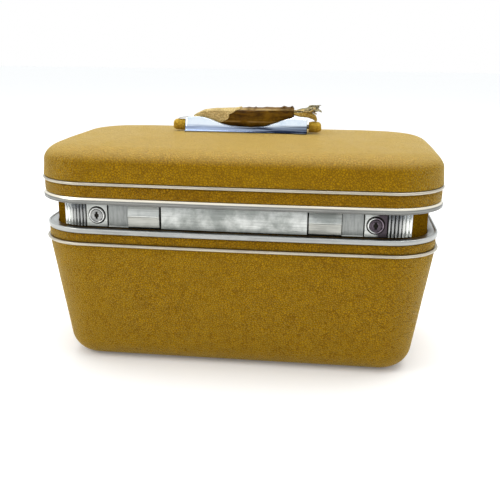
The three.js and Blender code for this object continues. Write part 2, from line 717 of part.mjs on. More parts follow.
const shellSolid = lidShell();
const screwHole = () => rod(SCREW_HOLE_RADIUS, 190, 240, "z", 12);
const headRecess = () => rod(SCREW_HEAD.radius + 0.8, SCREW_HEAD.from - 0.5, 240, "z", 16);
add("lid_shell", cut(shellSolid, onScrews(screwHole)), MUSTARD, 0.55, 0);
add("lid_lining", cut(lidLining(), onScrews(headRecess)), LINING, 0.9, 0);
const LID_SEAT = LID_REBATE - GAP;
const LID_STRIPE_BOTTOM = LID_FRAME_TOP + GAP;
const LID_STRIPE_TOP = LID_BEAD_BOTTOM - GAP;
add("lid_bead", bead(LID_PLAN, LID_SEAT, 0, LID_BEAD_BOTTOM, LID_BEAD_TOP), ALUMINIUM, 0.35, 1);
add("lid_stripe", stripe(LID_PLAN, LID_SEAT, 1.5, LID_STRIPE_BOTTOM, LID_STRIPE_TOP), MUSTARD, 0.55, 0);
add(
  "lid_frame",
  hoop([
    [LID_PLAN, 1, LID_FRAME_BOTTOM],
    [LID_PLAN, 0, LID_FRAME_BOTTOM + 0.8],
    [LID_PLAN, 0, LID_FRAME_TOP - 2.6],
    [LID_PLAN, 1.5, LID_FRAME_TOP],
    [NECK_PLAN, -NECK_CLEARANCE, LID_FRAME_TOP],
    [NECK_PLAN, -NECK_CLEARANCE, LID_FRAME_BOTTOM],
  ]),
  ALUMINIUM, 0.4, 1,
);

// The mirror hangs flat under the lid's lining in its own frame.
const MIRROR = { w: 110, d: 58, r: 12 };
const MIRROR_FRAME = { w: 116, d: 64, r: 16 };
const MIRROR_BACK = LID_PANEL_Z - GAP;
const MIRROR_FACE = 202.3;
const MIRROR_FRAME_FACE = 200.6;
const MIRROR_LIP = 2; // how far the frame laps over the glass
const plainLevel = (plan, z) => level(plan, z, { bow: 0, corner: 3 });
const mirrorFrameRings = [
  plainLevel(inset(MIRROR_FRAME, 1), MIRROR_FRAME_FACE),
  plainLevel(MIRROR_FRAME, MIRROR_FRAME_FACE + 0.8),
  plainLevel(MIRROR_FRAME, MIRROR_BACK),
  plainLevel(inset(MIRROR, -GAP), MIRROR_BACK),
  plainLevel(inset(MIRROR, -GAP), MIRROR_FACE - GAP),
  plainLevel(inset(MIRROR, MIRROR_LIP), MIRROR_FACE - 0.7),
  plainLevel(inset(MIRROR, MIRROR_LIP), MIRROR_FRAME_FACE),
];
add("mirror_frame", loft(mirrorFrameRings, true), ALUMINIUM, 0.35, 1);
const mirrorPane = loft([plainLevel(MIRROR, MIRROR_FACE), plainLevel(MIRROR, MIRROR_BACK)]);
add("mirror", mirrorPane, GLASS, 0.05, 1);

// ---- Handle ----
function saddleTopAt(x) {
  const reach = Math.abs(x);
  const next = Math.max(SADDLE_TOP.findIndex(([end]) => end >= reach), 1);
  const [[x0, z0], [x1, z1]] = SADDLE_TOP.slice(next - 1, next + 1);
  return z0 + ((z1 - z0) * (reach - x0)) / (x1 - x0);
}

function saddle() {
  const right = SADDLE_TOP.map(([x]) => x);
  const stations = [...right.slice(1).reverse().map((x) => -x), ...right];
  const rings = stations.map((x) => {
    const top = saddleTopAt(x);
    const half = SADDLE_HALF_DEPTH;
    const rim = half - SADDLE_LEAN * (top - SADDLE_LEAN_FROM);
    const section = [
      [-FLANGE_HALF_DEPTH, SADDLE_FOOT],
      [FLANGE_HALF_DEPTH, SADDLE_FOOT],
      [FLANGE_HALF_DEPTH, FLANGE_TOP],
      [half, FLANGE_TOP],
      [half, SADDLE_LEAN_FROM],
      [rim, top],
      [rim - 1, top],
      [rim * 0.55, top - 0.75 * SADDLE_DISH],
      [0, top - SADDLE_DISH],
      [rim * -0.55, top - 0.75 * SADDLE_DISH],
      [1 - rim, top],
      [-rim, top],
      [-half, SADDLE_LEAN_FROM],
      [-half, FLANGE_TOP],
      [-FLANGE_HALF_DEPTH, FLANGE_TOP],
    ];
    return section.map(([y, z]) => new THREE.Vector3(x, y, z));
  });
  const block = loft(rings);
  const tools = [shellSolid.clone().translate(0, 0, GAP)];
  tools.push(...onScrews(() => rod(SCREW_HOLE_RADIUS, 210, SCREW_TOP + 0.4, "z", 12)));
  for (const side of [-1, 1]) {
    const [from, to] = span(side, STRAP_PIN_START - 0.5, 65);
    tools.push(rod(STRAP_PIN_RADIUS + 0.4, from, to, "x", 12).translate(0, 0, KNOB_Z));
  }
  return cut(block, tools);
}
add("handle_saddle", saddle(), CHROME, 0.15, 1);

function screw() {
  const shank = 2.2;
  const { radius, from, to } = SCREW_HEAD;
  const profile = [
    [0, from],
    [radius, from],
    [radius, to],
    [shank, to],
    [shank, SCREW_TOP],
    [0, SCREW_TOP],
  ];
  return turned(profile, "z", 12);
}
onScrews(screw).forEach((geometry, i) => add(`saddle_screw_${i + 1}`, geometry, STEEL, 0.4, 1));

function knob(side) {
  const r = KNOB_RADIUS;
  const profile = [
    [0, KNOB_START + KNOB_BORE_DEPTH],
    [KNOB_BORE_RADIUS, KNOB_START + KNOB_BORE_DEPTH],
    [KNOB_BORE_RADIUS, KNOB_START],
    [r - 0.8, KNOB_START],
    [r, KNOB_START + 1],
    [r, KNOB_END - 3],
    [r * 0.82, KNOB_END - 0.9],
    [0, KNOB_END],
  ];
  return turned(profile, "x", 16).translate(0, 0, KNOB_Z).rotateZ(side < 0 ? Math.PI : 0);
}

// The lens of the grip: section rings across X, from one end to the other.
const GRIP_STATIONS = [-40, -36, -30, -20, -10, 0, 10, 20, 30, 38, 47.4];
const GRIP_TOP = 242.3;
const GRIP_RISE = 0.038; // the top climbs towards the right
const GRIP_DROOP = 6.6; // the left-hand end bends down to a tip
const GRIP_DROOP_FROM = -30;
const GRIP_HALF_DEPTH = 11;
const GRIP_NARROWING = 6; // from the middle to 50 mm out
const WRAP_END = -14;
const WRAP_STATIONS = [-54, -50, -44, -40, -36, -30, -20, WRAP_END - 0.4];
const WRAP_PROUD = 0.3; // the wrap stands this far off the bare core's surface
const WRAP_RECESS = 1.5;

// How far the grip's underside clears the dish, narrowing towards its left-hand tip.
const gripClearance = (x) => 1.9 - Math.min(Math.max((-40 - x) / 14, 0), 1);

function gripRing(x, grow) {
  const droop = GRIP_DROOP * (Math.max(GRIP_DROOP_FROM - x, 0) / 24) ** 2.6;
  const bottom = saddleTopAt(x) - SADDLE_DISH + gripClearance(x);
  const top = Math.max(GRIP_TOP + GRIP_RISE * x - droop, bottom + 0.9);
  const half = GRIP_HALF_DEPTH - GRIP_NARROWING * (x / 50) ** 2;
  const middle = (top + bottom) / 2;
  const halfHeight = Math.max((top - bottom) / 2 + grow, 0.2);
  const sides = 12;
  const ring = [];
  for (let i = 0; i < sides; i++) {
    const angle = (2 * Math.PI * i) / sides;
    const soften = (value) => Math.sign(value) * Math.abs(value) ** 0.7;
    const y = (half + grow) * soften(Math.cos(angle));
    const z = middle + halfHeight * soften(Math.sin(angle));
    ring.push(new THREE.Vector3(x, y, z));
  }
  return ring;
}

// The bare core is thinner where the vinyl wrap covers it.
function gripCore() {
  const covered = GRIP_STATIONS.filter((x) => x < WRAP_END);
  const bare = GRIP_STATIONS.filter((x) => x > WRAP_END);
  return loft([
    ...covered.map((x) => gripRing(x, -WRAP_RECESS)),
    gripRing(WRAP_END, -WRAP_RECESS),
    gripRing(WRAP_END + 0.01, 0),
    ...bare.map((x) => gripRing(x, 0)),
  ]);
}

function gripWrap() {
  const outer = WRAP_STATIONS.map((x) => gripRing(x, WRAP_PROUD));
  const inner = WRAP_STATIONS.map((x) => gripRing(x, 0.35 - WRAP_RECESS)).reverse();
  return loft([...outer, ...inner], true);
}

// The crumpled remains of the wrap at the other end, over the strap that drops to the knob.
const COLLAR_STATIONS = [
  [47.8, 234.8, 243.5, 5],
  [52, 234.6, 241.5, 4],
  [60, 234.6, 243, 6],
  [74, 234.9, 246, 7],
]; // x, underside, top and half depth

function collar() {
  const rings = COLLAR_STATIONS.map(([x, low, high, half]) => {
    const corners = [[half, low], [half, high], [-half, high], [-half, low]];
    return corners.map(([y, z]) => new THREE.Vector3(x, y, z));
  });
  return loft(rings);
}

add("handle_core", gripCore(), BROWN, 0.6, 0);
add("handle_wrap", gripWrap(), MUSTARD, 0.6, 0);
add("handle_collar", collar(), MUSTARD, 0.6, 0);
const STRAP_FOOT = KNOB_Z + KNOB_RADIUS + GAP;
const STRAP_TOP = 234.3;
const STRAP_HALF_WIDTH = 4.5;
const strapRight = box(63, 72, -STRAP_HALF_WIDTH, STRAP_HALF_WIDTH, STRAP_FOOT, STRAP_TOP);
add("handle_strap_right", strapRight, MUSTARD, 0.6, 0);
// The steel band at the other end leans from the grip's tip down to its knob.
const BAND_HALF_WIDTH = 4;
const bandPoints = [
  [-69, STRAP_FOOT],
  [-66, STRAP_FOOT],
  [-61.5, 231.3],
  [-54.6, 231.9],
  [-54.6, 232.7],
  [-61.9, 232.2],
  [-66.6, 231.6],
  [-69, STRAP_FOOT + 1.3],
];
const strapLeft = prismAlongY(bandPoints, -BAND_HALF_WIDTH, BAND_HALF_WIDTH);
add("handle_strap_left", strapLeft, STEEL, 0.5, 1);

for (const [side, hand] of [[-1, "left"], [1, "right"]]) {
  const [from, to] = span(side, STRAP_PIN_START, KNOB_START + KNOB_BORE_DEPTH - GAP);
  add(`handle_knob_${hand}`, knob(side), MUSTARD, 0.55, 0);
  const pin = rod(STRAP_PIN_RADIUS, from, to, "x", 12).translate(0, 0, KNOB_Z);
  add(`strap_pin_${hand}`, pin, STEEL, 0.4, 1);
}

// ---- Lift-out tray ----
const TRAY_PLAN = { w: 166, d: 80, r: 26 };
const TRAY_BOTTOM = 127.4;
const TRAY_TOP = 158;
const TRAY_WALL = 2;
const TRAY_RIM = 3;
const DIVIDER_X = 55;
const TAB_HALF = 9;
const TAB_FOOT = 145;
const TAB_TOP = TRAY_TOP + 6;
const trayLevel = (distance, z) => level(inset(TRAY_PLAN, distance), z, { bow: 0, corner: 4 });

function tray() {
  const shell = loft([
    trayLevel(2, TRAY_BOTTOM),
    trayLevel(0.6, TRAY_BOTTOM + 1.4),
    trayLevel(0, TRAY_TOP - 2),
    trayLevel(-TRAY_RIM, TRAY_TOP - 2),
    trayLevel(-TRAY_RIM, TRAY_TOP),
    trayLevel(TRAY_WALL, TRAY_TOP),
    trayLevel(TRAY_WALL + 0.6, TRAY_BOTTOM + 3),
    trayLevel(TRAY_WALL + 2, TRAY_BOTTOM + TRAY_WALL),
  ]);
  const low = TRAY_BOTTOM + 1;
  const high = TRAY_TOP - 8;
  const reach = TRAY_PLAN.d - TRAY_WALL - 0.1;
  const dividers = [-DIVIDER_X, DIVIDER_X].map((x) => box(x - 1, x + 1, -reach, reach, low, high));
  return join([shell, ...dividers, box(-DIVIDER_X, DIVIDER_X, -1, 1, low, high)]);
}
add("tray", tray(), CREAM, 0.5, 0);
for (const [side, hand] of [[-1, "left"], [1, "right"]]) {
  const wallIn = TRAY_PLAN.w - TRAY_WALL;
  const tab = box(side * (wallIn - 0.9), side * (wallIn - 2.1), -TAB_HALF, TAB_HALF, TAB_FOOT, TAB_TOP);
  add(`tray_tab_${hand}`, tab, LINING, 0.9, 0);
}

export default group;
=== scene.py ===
"""Looks of the makeup train case: vinyl shells, aluminium trims, latch panel, worn handle and lined inside.

Metres throughout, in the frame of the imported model: +Z up, front towards -Y.
"""
import math
from contextlib import contextmanager

import bmesh
import bpy
import numpy as np
from mathutils import Matrix, Vector, noise


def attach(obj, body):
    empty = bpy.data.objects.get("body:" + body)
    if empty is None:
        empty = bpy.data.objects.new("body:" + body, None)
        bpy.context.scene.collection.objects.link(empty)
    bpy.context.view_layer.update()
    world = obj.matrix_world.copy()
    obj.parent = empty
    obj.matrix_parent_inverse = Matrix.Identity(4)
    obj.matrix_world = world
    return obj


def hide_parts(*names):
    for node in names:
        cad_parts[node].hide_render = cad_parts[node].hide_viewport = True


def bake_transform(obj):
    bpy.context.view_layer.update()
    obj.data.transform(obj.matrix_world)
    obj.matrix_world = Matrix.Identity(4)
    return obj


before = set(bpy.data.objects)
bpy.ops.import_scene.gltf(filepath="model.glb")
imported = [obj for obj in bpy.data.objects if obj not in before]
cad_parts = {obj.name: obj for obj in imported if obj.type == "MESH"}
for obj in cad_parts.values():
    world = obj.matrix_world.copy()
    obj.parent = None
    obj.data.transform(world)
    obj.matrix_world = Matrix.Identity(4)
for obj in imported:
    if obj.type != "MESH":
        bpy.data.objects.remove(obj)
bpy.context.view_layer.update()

MM = 0.001
SIDES = ((-1, "left"), (1, "right"))

# ---------------------------------------------------------------- camera, lights, floor
CAMERA_AZIMUTH = math.radians(6.4)
CAMERA_ELEVATION = math.radians(16.03)
CAMERA_ROLL = math.radians(-0.66)
CAMERA_DISTANCE = 0.7645
CAMERA_TARGET = Vector((0.0047, 0.0, 0.0938))
SENSOR_WIDTH = 36
FOCAL_LENGTH = 51.93
NEAREST_SEEN = 0.02
DOME_STRENGTH = 1.0
FLOOR_SIZE = 16
FLOOR_DROP = 0.0004


def place_object(name, data):
    made = bpy.data.objects.new(name, data)
    bpy.context.scene.collection.objects.link(made)
    return made


def make_camera():
    data = bpy.data.cameras.new("camera")
    data.sensor_width, data.lens, data.clip_start = SENSOR_WIDTH, FOCAL_LENGTH, NEAREST_SEEN
    camera = place_object("camera", data)
    turn, level = CAMERA_AZIMUTH, math.cos(CAMERA_ELEVATION)
    back = Vector((math.sin(turn) * level, -math.cos(turn) * level, math.sin(CAMERA_ELEVATION)))
    right = Vector((math.cos(turn), math.sin(turn), 0))
    up = back.cross(right)
    cos, sin = math.cos(CAMERA_ROLL), math.sin(CAMERA_ROLL)
    rotation = Matrix((right * cos - up * sin, right * sin + up * cos, back)).transposed().to_4x4()
    camera.matrix_world = Matrix.Translation(CAMERA_TARGET + back * CAMERA_DISTANCE) @ rotation
    bpy.context.scene.camera = camera


def area_light(name, place, aim, size, power, colour=(1, 1, 1)):
    data = bpy.data.lights.new(name, "AREA")
    data.shape, data.energy, data.color = "RECTANGLE", power, colour
    data.size, data.size_y = size
    light = place_object(name, data)
    light.location = place
    light.rotation_euler = (Vector(aim) - Vector(place)).to_track_quat("-Z", "Y").to_euler()


def make_world():
    """A bright dome that darkens near the horizon in front. The camera itself sees plain white."""
    world = bpy.data.worlds.new("studio")
    bpy.context.scene.world = world
    world.use_nodes = True
    world.node_tree.nodes.clear()
    w = Nodes(world.node_tree)
    direction = w.where("Generated")
    dusk = w.times(w.ramp(w.part(direction, "Z"), 0.2, 0.1), w.ramp(w.part(direction, "Y"), 0.1, -0.45))
    sky = w.blend(dusk, (0.95, 0.98, 1), (0.11, 0.14, 0.19))
    lit = w.put("Background", Color=sky, Strength=DOME_STRENGTH)
    seen = w.put("Background", Color=(1, 1, 1))
    mix = w.put("MixShader", Fac=w.put("LightPath").outputs["Is Camera Ray"])
    w.set(mix.inputs[1], lit.outputs[0])
    w.set(mix.inputs[2], seen.outputs[0])
    w.put("OutputWorld", Surface=mix.outputs[0])


def make_stage():
    make_world()
    area_light("overhead", (0.1, 0.3, 1.7), (0, 0, 0.15), (2.2, 1.4), 26)
    area_light("key", (-1.6, -1.0, 1.4), (0, 0, 0.1), (0.9, 0.9), 11, (1, 0.97, 0.92))
    bpy.ops.mesh.primitive_plane_add(size=FLOOR_SIZE, location=(0, 0, -FLOOR_DROP))
    floor = bpy.context.object
    floor.name = "floor"
    paper = Shader(
        "floor", Base_Color=(0.93, 0.92, 0.91, 1), Emission_Color=(1, 1, 1, 1), Emission_Strength=0.09,
        Roughness=0.9, Specular_IOR_Level=0.1,
    )
    floor.data.materials.append(paper.material)
    bpy.context.scene.view_settings.view_transform = "Standard"


# ---------------------------------------------------------------- materials
class Nodes:
    """A node tree under construction, with a few shorthands."""

    def __init__(self, tree):
        self.tree = tree

    def put(self, kind, settings=None, **inputs):
        made = self.tree.nodes.new("ShaderNode" + kind)
        for key, value in (settings or {}).items():
            setattr(made, key, value)
        for socket, value in inputs.items():
            self.set(made.inputs[socket.replace("_", " ")], value)
        return made

    def set(self, socket, value):
        if isinstance(value, bpy.types.NodeSocket):
            self.tree.links.new(value, socket)
        elif socket.type == "RGBA":
            socket.default_value = (*value[:3], 1)
        else:
            socket.default_value = value

    def where(self, kind="Object"):
        return self.put("TexCoord").outputs[kind]

    def part(self, vector, axis):
        return self.put("SeparateXYZ", Vector=vector).outputs[axis]

    def stretch(self, vector, scale):
        return self.put("Mapping", Vector=vector, Scale=scale).outputs[0]

    def noise(self, vector, scale, detail=3, roughness=0.55, distortion=0.0):
        return self.put(
            "TexNoise", Vector=vector, Scale=scale, Detail=detail, Roughness=roughness, Distortion=distortion,
        ).outputs[0]

    def ramp(self, value, low, high, to_low=0.0, to_high=1.0):
        limits = {"From_Min": low, "From_Max": high, "To_Min": to_low, "To_Max": to_high}
        return self.put("MapRange", {"interpolation_type": "SMOOTHSTEP"}, Value=value, **limits).outputs[0]

    def maths(self, operation, a, b=None):
        made = self.put("Math", {"operation": operation})
        self.set(made.inputs[0], a)
        if b is not None:
            self.set(made.inputs[1], b)
        return made.outputs[0]

    def times(self, a, b):
        return self.maths("MULTIPLY", a, b)

    def plus(self, a, b):
        return self.maths("ADD", a, b)

    def blend(self, factor, a, b, kind="MIX"):
        made = self.put("Mix", {"data_type": "RGBA", "blend_type": kind})
        for index, value in ((0, factor), (6, a), (7, b)):
            self.set(made.inputs[index], value)
        return made.outputs[2]

    def warp(self, vector, scale, amount):
        """Moves a coordinate about by a coloured noise, so that cells lose their even look."""
        wander = self.put("TexNoise", Vector=vector, Scale=scale, Detail=2).outputs[1]
        shift = self.put("VectorMath", {"operation": "SCALE"}, Vector=wander, Scale=amount)
        made = self.put("VectorMath", {"operation": "ADD"}, Vector=vector)
        self.set(made.inputs[1], shift.outputs[0])
        return made.outputs[0]

    def bump(self, height, distance, strength=1.0):
        return self.put("Bump", Height=height, Strength=strength, Distance=distance).outputs[0]


class Shader(Nodes):
    """A material under construction."""

    def __init__(self, name, **constants):
        self.material = bpy.data.materials.new(name)
        self.material.use_nodes = True
        super().__init__(self.material.node_tree)
        self.surface = self.tree.nodes["Principled BSDF"]
        for socket, value in constants.items():
            self.surface.inputs[socket.replace("_", " ")].default_value = value

    def finish(self, colour, roughness, normal=None):
        for socket, value in (("Base Color", colour), ("Roughness", roughness), ("Normal", normal)):
            if value is not None:
                self.tree.links.new(value, self.surface.inputs[socket])
        return self.material


def vinyl(name, deep, light, dirt=0.5, grain=1.0, sheen=0.62, top_sheen_and_dust=0.0, gloss=0.05):
    """Grained vinyl cloth: pebbles between dark creases, blotchy, grimy, and paler on top of the lid, partly
    dust and partly a painted sheen.
    """
    s = Shader(
        name, Specular_IOR_Level=gloss, Sheen_Weight=sheen, Sheen_Roughness=0.27,
        Sheen_Tint=(1, 0.82, 0.25, 1),
    )
    place = s.where()
    loose = s.warp(place, 210, 0.0022)
    cells = s.put("TexVoronoi", {"feature": "DISTANCE_TO_EDGE"}, Vector=loose, Scale=470, Randomness=1.0)
    pebble = s.ramp(cells.outputs[0], 0.0, 0.17)
    fine = s.noise(place, 1700, 2, 0.6)
    relief = s.plus(s.times(pebble, 0.75), s.times(fine, 0.45))
    fade = s.ramp(s.noise(place, 9, 5, 0.6), 0.36, 0.66)
    streak = s.ramp(s.noise(s.stretch(place, (130, 130, 60)), 1.0, 5, 0.7), 0.35, 0.7)
    patchy = s.ramp(s.noise(place, 120, 4, 0.7), 0.3, 0.7)
    colour = s.blend(s.times(pebble, s.plus(0.55, s.times(patchy, 0.45))), deep, light)
    darker = tuple(channel * 0.74 for channel in light)
    colour = s.blend(s.times(s.maths("SUBTRACT", 1.0, fade), 0.26), colour, darker)
    pale = (light[0] * 1.2, light[1] * 1.34, light[2] * 1.3)
    colour = s.blend(s.times(streak, 0.16), colour, pale)
    spots = s.ramp(s.noise(place, 75, 6, 0.75), 0.64, 0.75)
    colour = s.blend(s.times(spots, dirt), colour, (0.05, 0.03, 0.004))
    # Paler towards the top of the lid: partly dust, partly a painted sheen for the glossy light that the bend
    # and crown catch.
    if top_sheen_and_dust:
        top_sheen_zone = s.ramp(s.part(place, "Z"), 0.199, 0.2095)
        colour = s.blend(s.times(top_sheen_zone, top_sheen_and_dust), colour, (0.78, 0.55, 0.2))
    rough = s.ramp(s.plus(s.noise(place, 40, 4), s.times(pebble, -0.25)), 0.1, 0.8, 0.34, 0.56)
    return s.finish(colour, rough, s.bump(relief, 0.0007 * grain, 1.0))


def metal(name, tint, worn, rough, along, brush, blotch, uv=False, painted_light_bands=()):
    """Drawn or brushed metal: fine lines along one direction, tarnish and small pits.

    The last argument lists (axis, from, to, colour): stretches of the piece painted with highlights, shade
    and dark reflections.
    """
    s = Shader(name, Metallic=1.0)
    place = s.where("UV" if uv else "Object")
    lines = s.noise(s.stretch(place, along), 1.0, 4, 0.7)
    cloud = s.noise(s.where(), 26, 6, 0.68)
    stain = s.ramp(cloud, 0.42, 0.68)
    pits = s.ramp(s.noise(s.where(), 420, 3, 0.8), 0.68, 0.76)
    colour = s.blend(s.times(stain, blotch), tint, worn)
    # Each band blends its painted light colour over a stretch along one axis.
    for axis, start, end, shade in painted_light_bands:
        reach = s.maths("ABSOLUTE", s.part(s.where(), axis))
        colour = s.blend(s.ramp(reach, start, end), colour, shade)
    low = s.blend(1.0, colour, (0.62, 0.62, 0.62), "MULTIPLY")
    colour = s.blend(s.times(s.ramp(lines, 0.4, 0.66), 0.5), colour, low)
    colour = s.blend(s.times(pits, 0.75), colour, tuple(channel * 0.22 for channel in worn))
    varied = s.plus(s.times(lines, brush), s.times(stain, brush))
    roughness = s.ramp(varied, 0.0, 1.6 * brush, rough - 0.5 * brush, rough + brush)
    return s.finish(colour, roughness, s.bump(lines, 0.00006, 0.5))


def cloth(name, colour, shade, weave, sheen):
    """Satin-faced lining cloth: a fine weave with soft creases, darker in their hollows as painted shade."""
    s = Shader(name, Specular_IOR_Level=0.3, Sheen_Weight=sheen, Sheen_Roughness=0.4)
    place = s.where()
    wave = {"Vector": place, "Scale": weave / 6.2, "Distortion": 0.6}
    across, upright, deep = (
        s.put("TexWave", {"bands_direction": axis}, **wave).outputs[1] for axis in "XZY"
    )
    threads = s.plus(s.maths("MAXIMUM", across, upright), deep)
    crease = s.noise(place, 55, 4, 0.6, 0.4)
    # Darker where the crease noise is low, which is where the bump sinks: painted shade in the creases'
    # hollows.
    mixed = s.blend(s.ramp(crease, 0.3, 0.7), shade, colour)
    mixed = s.blend(s.times(threads, 0.16), mixed, tuple(min(1, channel * 1.3) for channel in colour))
    height = s.plus(s.times(threads, 0.12), s.times(crease, 0.8))
    return s.finish(mixed, s.ramp(crease, 0.2, 0.8, 0.5, 0.75), s.bump(height, 0.0006, 0.7))


def moulded(name, colour, shade):
    """Moulded plastic with a faint texture, yellowed unevenly."""
    s = Shader(name, Specular_IOR_Level=0.45)
    place = s.where()
    cloud = s.ramp(s.noise(place, 18, 5, 0.6), 0.35, 0.7)
    scuff = s.ramp(s.noise(s.stretch(place, (40, 300, 300)), 1.0, 4, 0.7), 0.6, 0.72)
    mixed = s.blend(cloud, colour, shade)
    mixed = s.blend(s.times(scuff, 0.25), mixed, tuple(channel * 0.6 for channel in shade))
    rough = s.ramp(s.noise(place, 90, 3), 0.2, 0.8, 0.3, 0.5)
    return s.finish(mixed, rough, s.bump(s.noise(place, 1500, 2), 0.00008, 0.5))


def worn_core(name):
    """The bared core of the grip: dark brown, polished by hands, with torn fibres along its length; lighter
    along its top from hand wear with a painted highlight, and a painted highlight low on its front.
    """
    s = Shader(name, Specular_IOR_Level=0.1)
    place = s.where()
    fibres = s.noise(s.stretch(place, (60, 300, 420)), 1.0, 5, 0.7, 0.5)
    cloud = s.ramp(s.noise(place, 55, 4, 0.6), 0.38, 0.66)
    mixed = s.blend(s.ramp(fibres, 0.3, 0.72), (0.028, 0.010, 0.0004), (0.15, 0.068, 0.002))
    mixed = s.blend(s.times(cloud, 0.6), mixed, (0.24, 0.12, 0.003))
    height = s.part(place, "Z")
    # Lighter along the top of the grip: hand polish with a painted highlight.
    top_wear_and_highlight = s.times(s.ramp(height, 0.2402, 0.2412), s.ramp(height, 0.2428, 0.2418))
    top_wear_and_highlight = s.times(top_wear_and_highlight, s.ramp(s.noise(s.stretch(place, (40, 90, 90)), 1.0, 3), 0.35, 0.55))
    mixed = s.blend(s.times(top_wear_and_highlight, 0.75), mixed, (0.42, 0.29, 0.11))
    # A painted highlight in a band low on the grip's front.
    belly_highlight = s.times(s.ramp(height, 0.2282, 0.2290), s.ramp(height, 0.2306, 0.2296))
    belly_highlight = s.times(belly_highlight, s.ramp(s.noise(s.stretch(place, (60, 60, 200)), 1.0, 3), 0.4, 0.55))
    mixed = s.blend(s.times(belly_highlight, 0.55), mixed, (0.38, 0.23, 0.07))
    rough = s.ramp(fibres, 0.25, 0.75, 0.32, 0.62)
    return s.finish(mixed, rough, s.bump(fibres, 0.0011, 0.9))


def painted_gap_shade(name):
    """Painted shade: a near-black, speckled colour for the bottoms of gaps and keyholes, where shade falls.
    """
    s = Shader(name, Specular_IOR_Level=0.1)
    speck = s.ramp(s.noise(s.where(), 300, 4, 0.7), 0.3, 0.7)
    colour = s.blend(speck, (0.006, 0.006, 0.005), (0.022, 0.019, 0.014))
    return s.finish(colour, s.ramp(speck, 0, 1, 0.6, 0.85))


def silvered(name):
    s = Shader(name, Metallic=1.0)
    place = s.where()
    haze = s.ramp(s.noise(place, 30, 5, 0.7), 0.5, 0.75)
    colour = s.blend(haze, (0.86, 0.89, 0.9), (0.74, 0.78, 0.78))
    return s.finish(colour, s.ramp(haze, 0.0, 1.0, 0.02, 0.08))


def chrome(name):
    """Polished chrome, a little hazed, with fine scratches, and a painted blue reflection along its lower
    part with painted dark wavy reflections in it, strongest on the right.
    """
    s = Shader(name, Metallic=1.0)
    place = s.where()
    haze = s.ramp(s.noise(place, 45, 5, 0.65), 0.45, 0.75)
    scratch = s.ramp(s.noise(s.stretch(place, (30, 500, 500)), 1.0, 5, 0.75), 0.55, 0.75)
    colour = s.blend(haze, (0.86, 0.92, 0.98), (0.66, 0.76, 0.88))
    parts = s.put("SeparateXYZ", Vector=place).outputs
    # The saddle's lower part is painted with a blue reflection, darker towards the right, below a wavy line
    # that rises to the right.
    wavy_reflection_edge = s.noise(s.stretch(place, (16, 60, 420)), 1.0, 4, 0.6, 0.4)
    edge = s.plus(s.times(wavy_reflection_edge, 0.0045), s.times(parts["X"], 0.012))
    height = s.maths("SUBTRACT", parts["Z"], edge)
    low = s.blend(s.ramp(parts["X"], -0.05, 0.045), (0.42, 0.50, 0.68), (0.20, 0.24, 0.32))
    colour = s.blend(s.ramp(height, 0.2246, 0.2212), colour, low)
    # Painted dark wavy reflections inside that band, stronger towards the right.
    dark = s.times(s.ramp(wavy_reflection_edge, 0.45, 0.54), s.ramp(height, 0.2236, 0.2214))
    dark = s.times(dark, s.ramp(parts["X"], -0.05, 0.03, 0.25, 1.0))
    colour = s.blend(dark, colour, (0.006, 0.013, 0.035))
    rough = s.ramp(s.plus(haze, scratch), 0.0, 1.4, 0.04, 0.2)
    return s.finish(colour, rough, s.bump(scratch, 0.00003, 0.4))


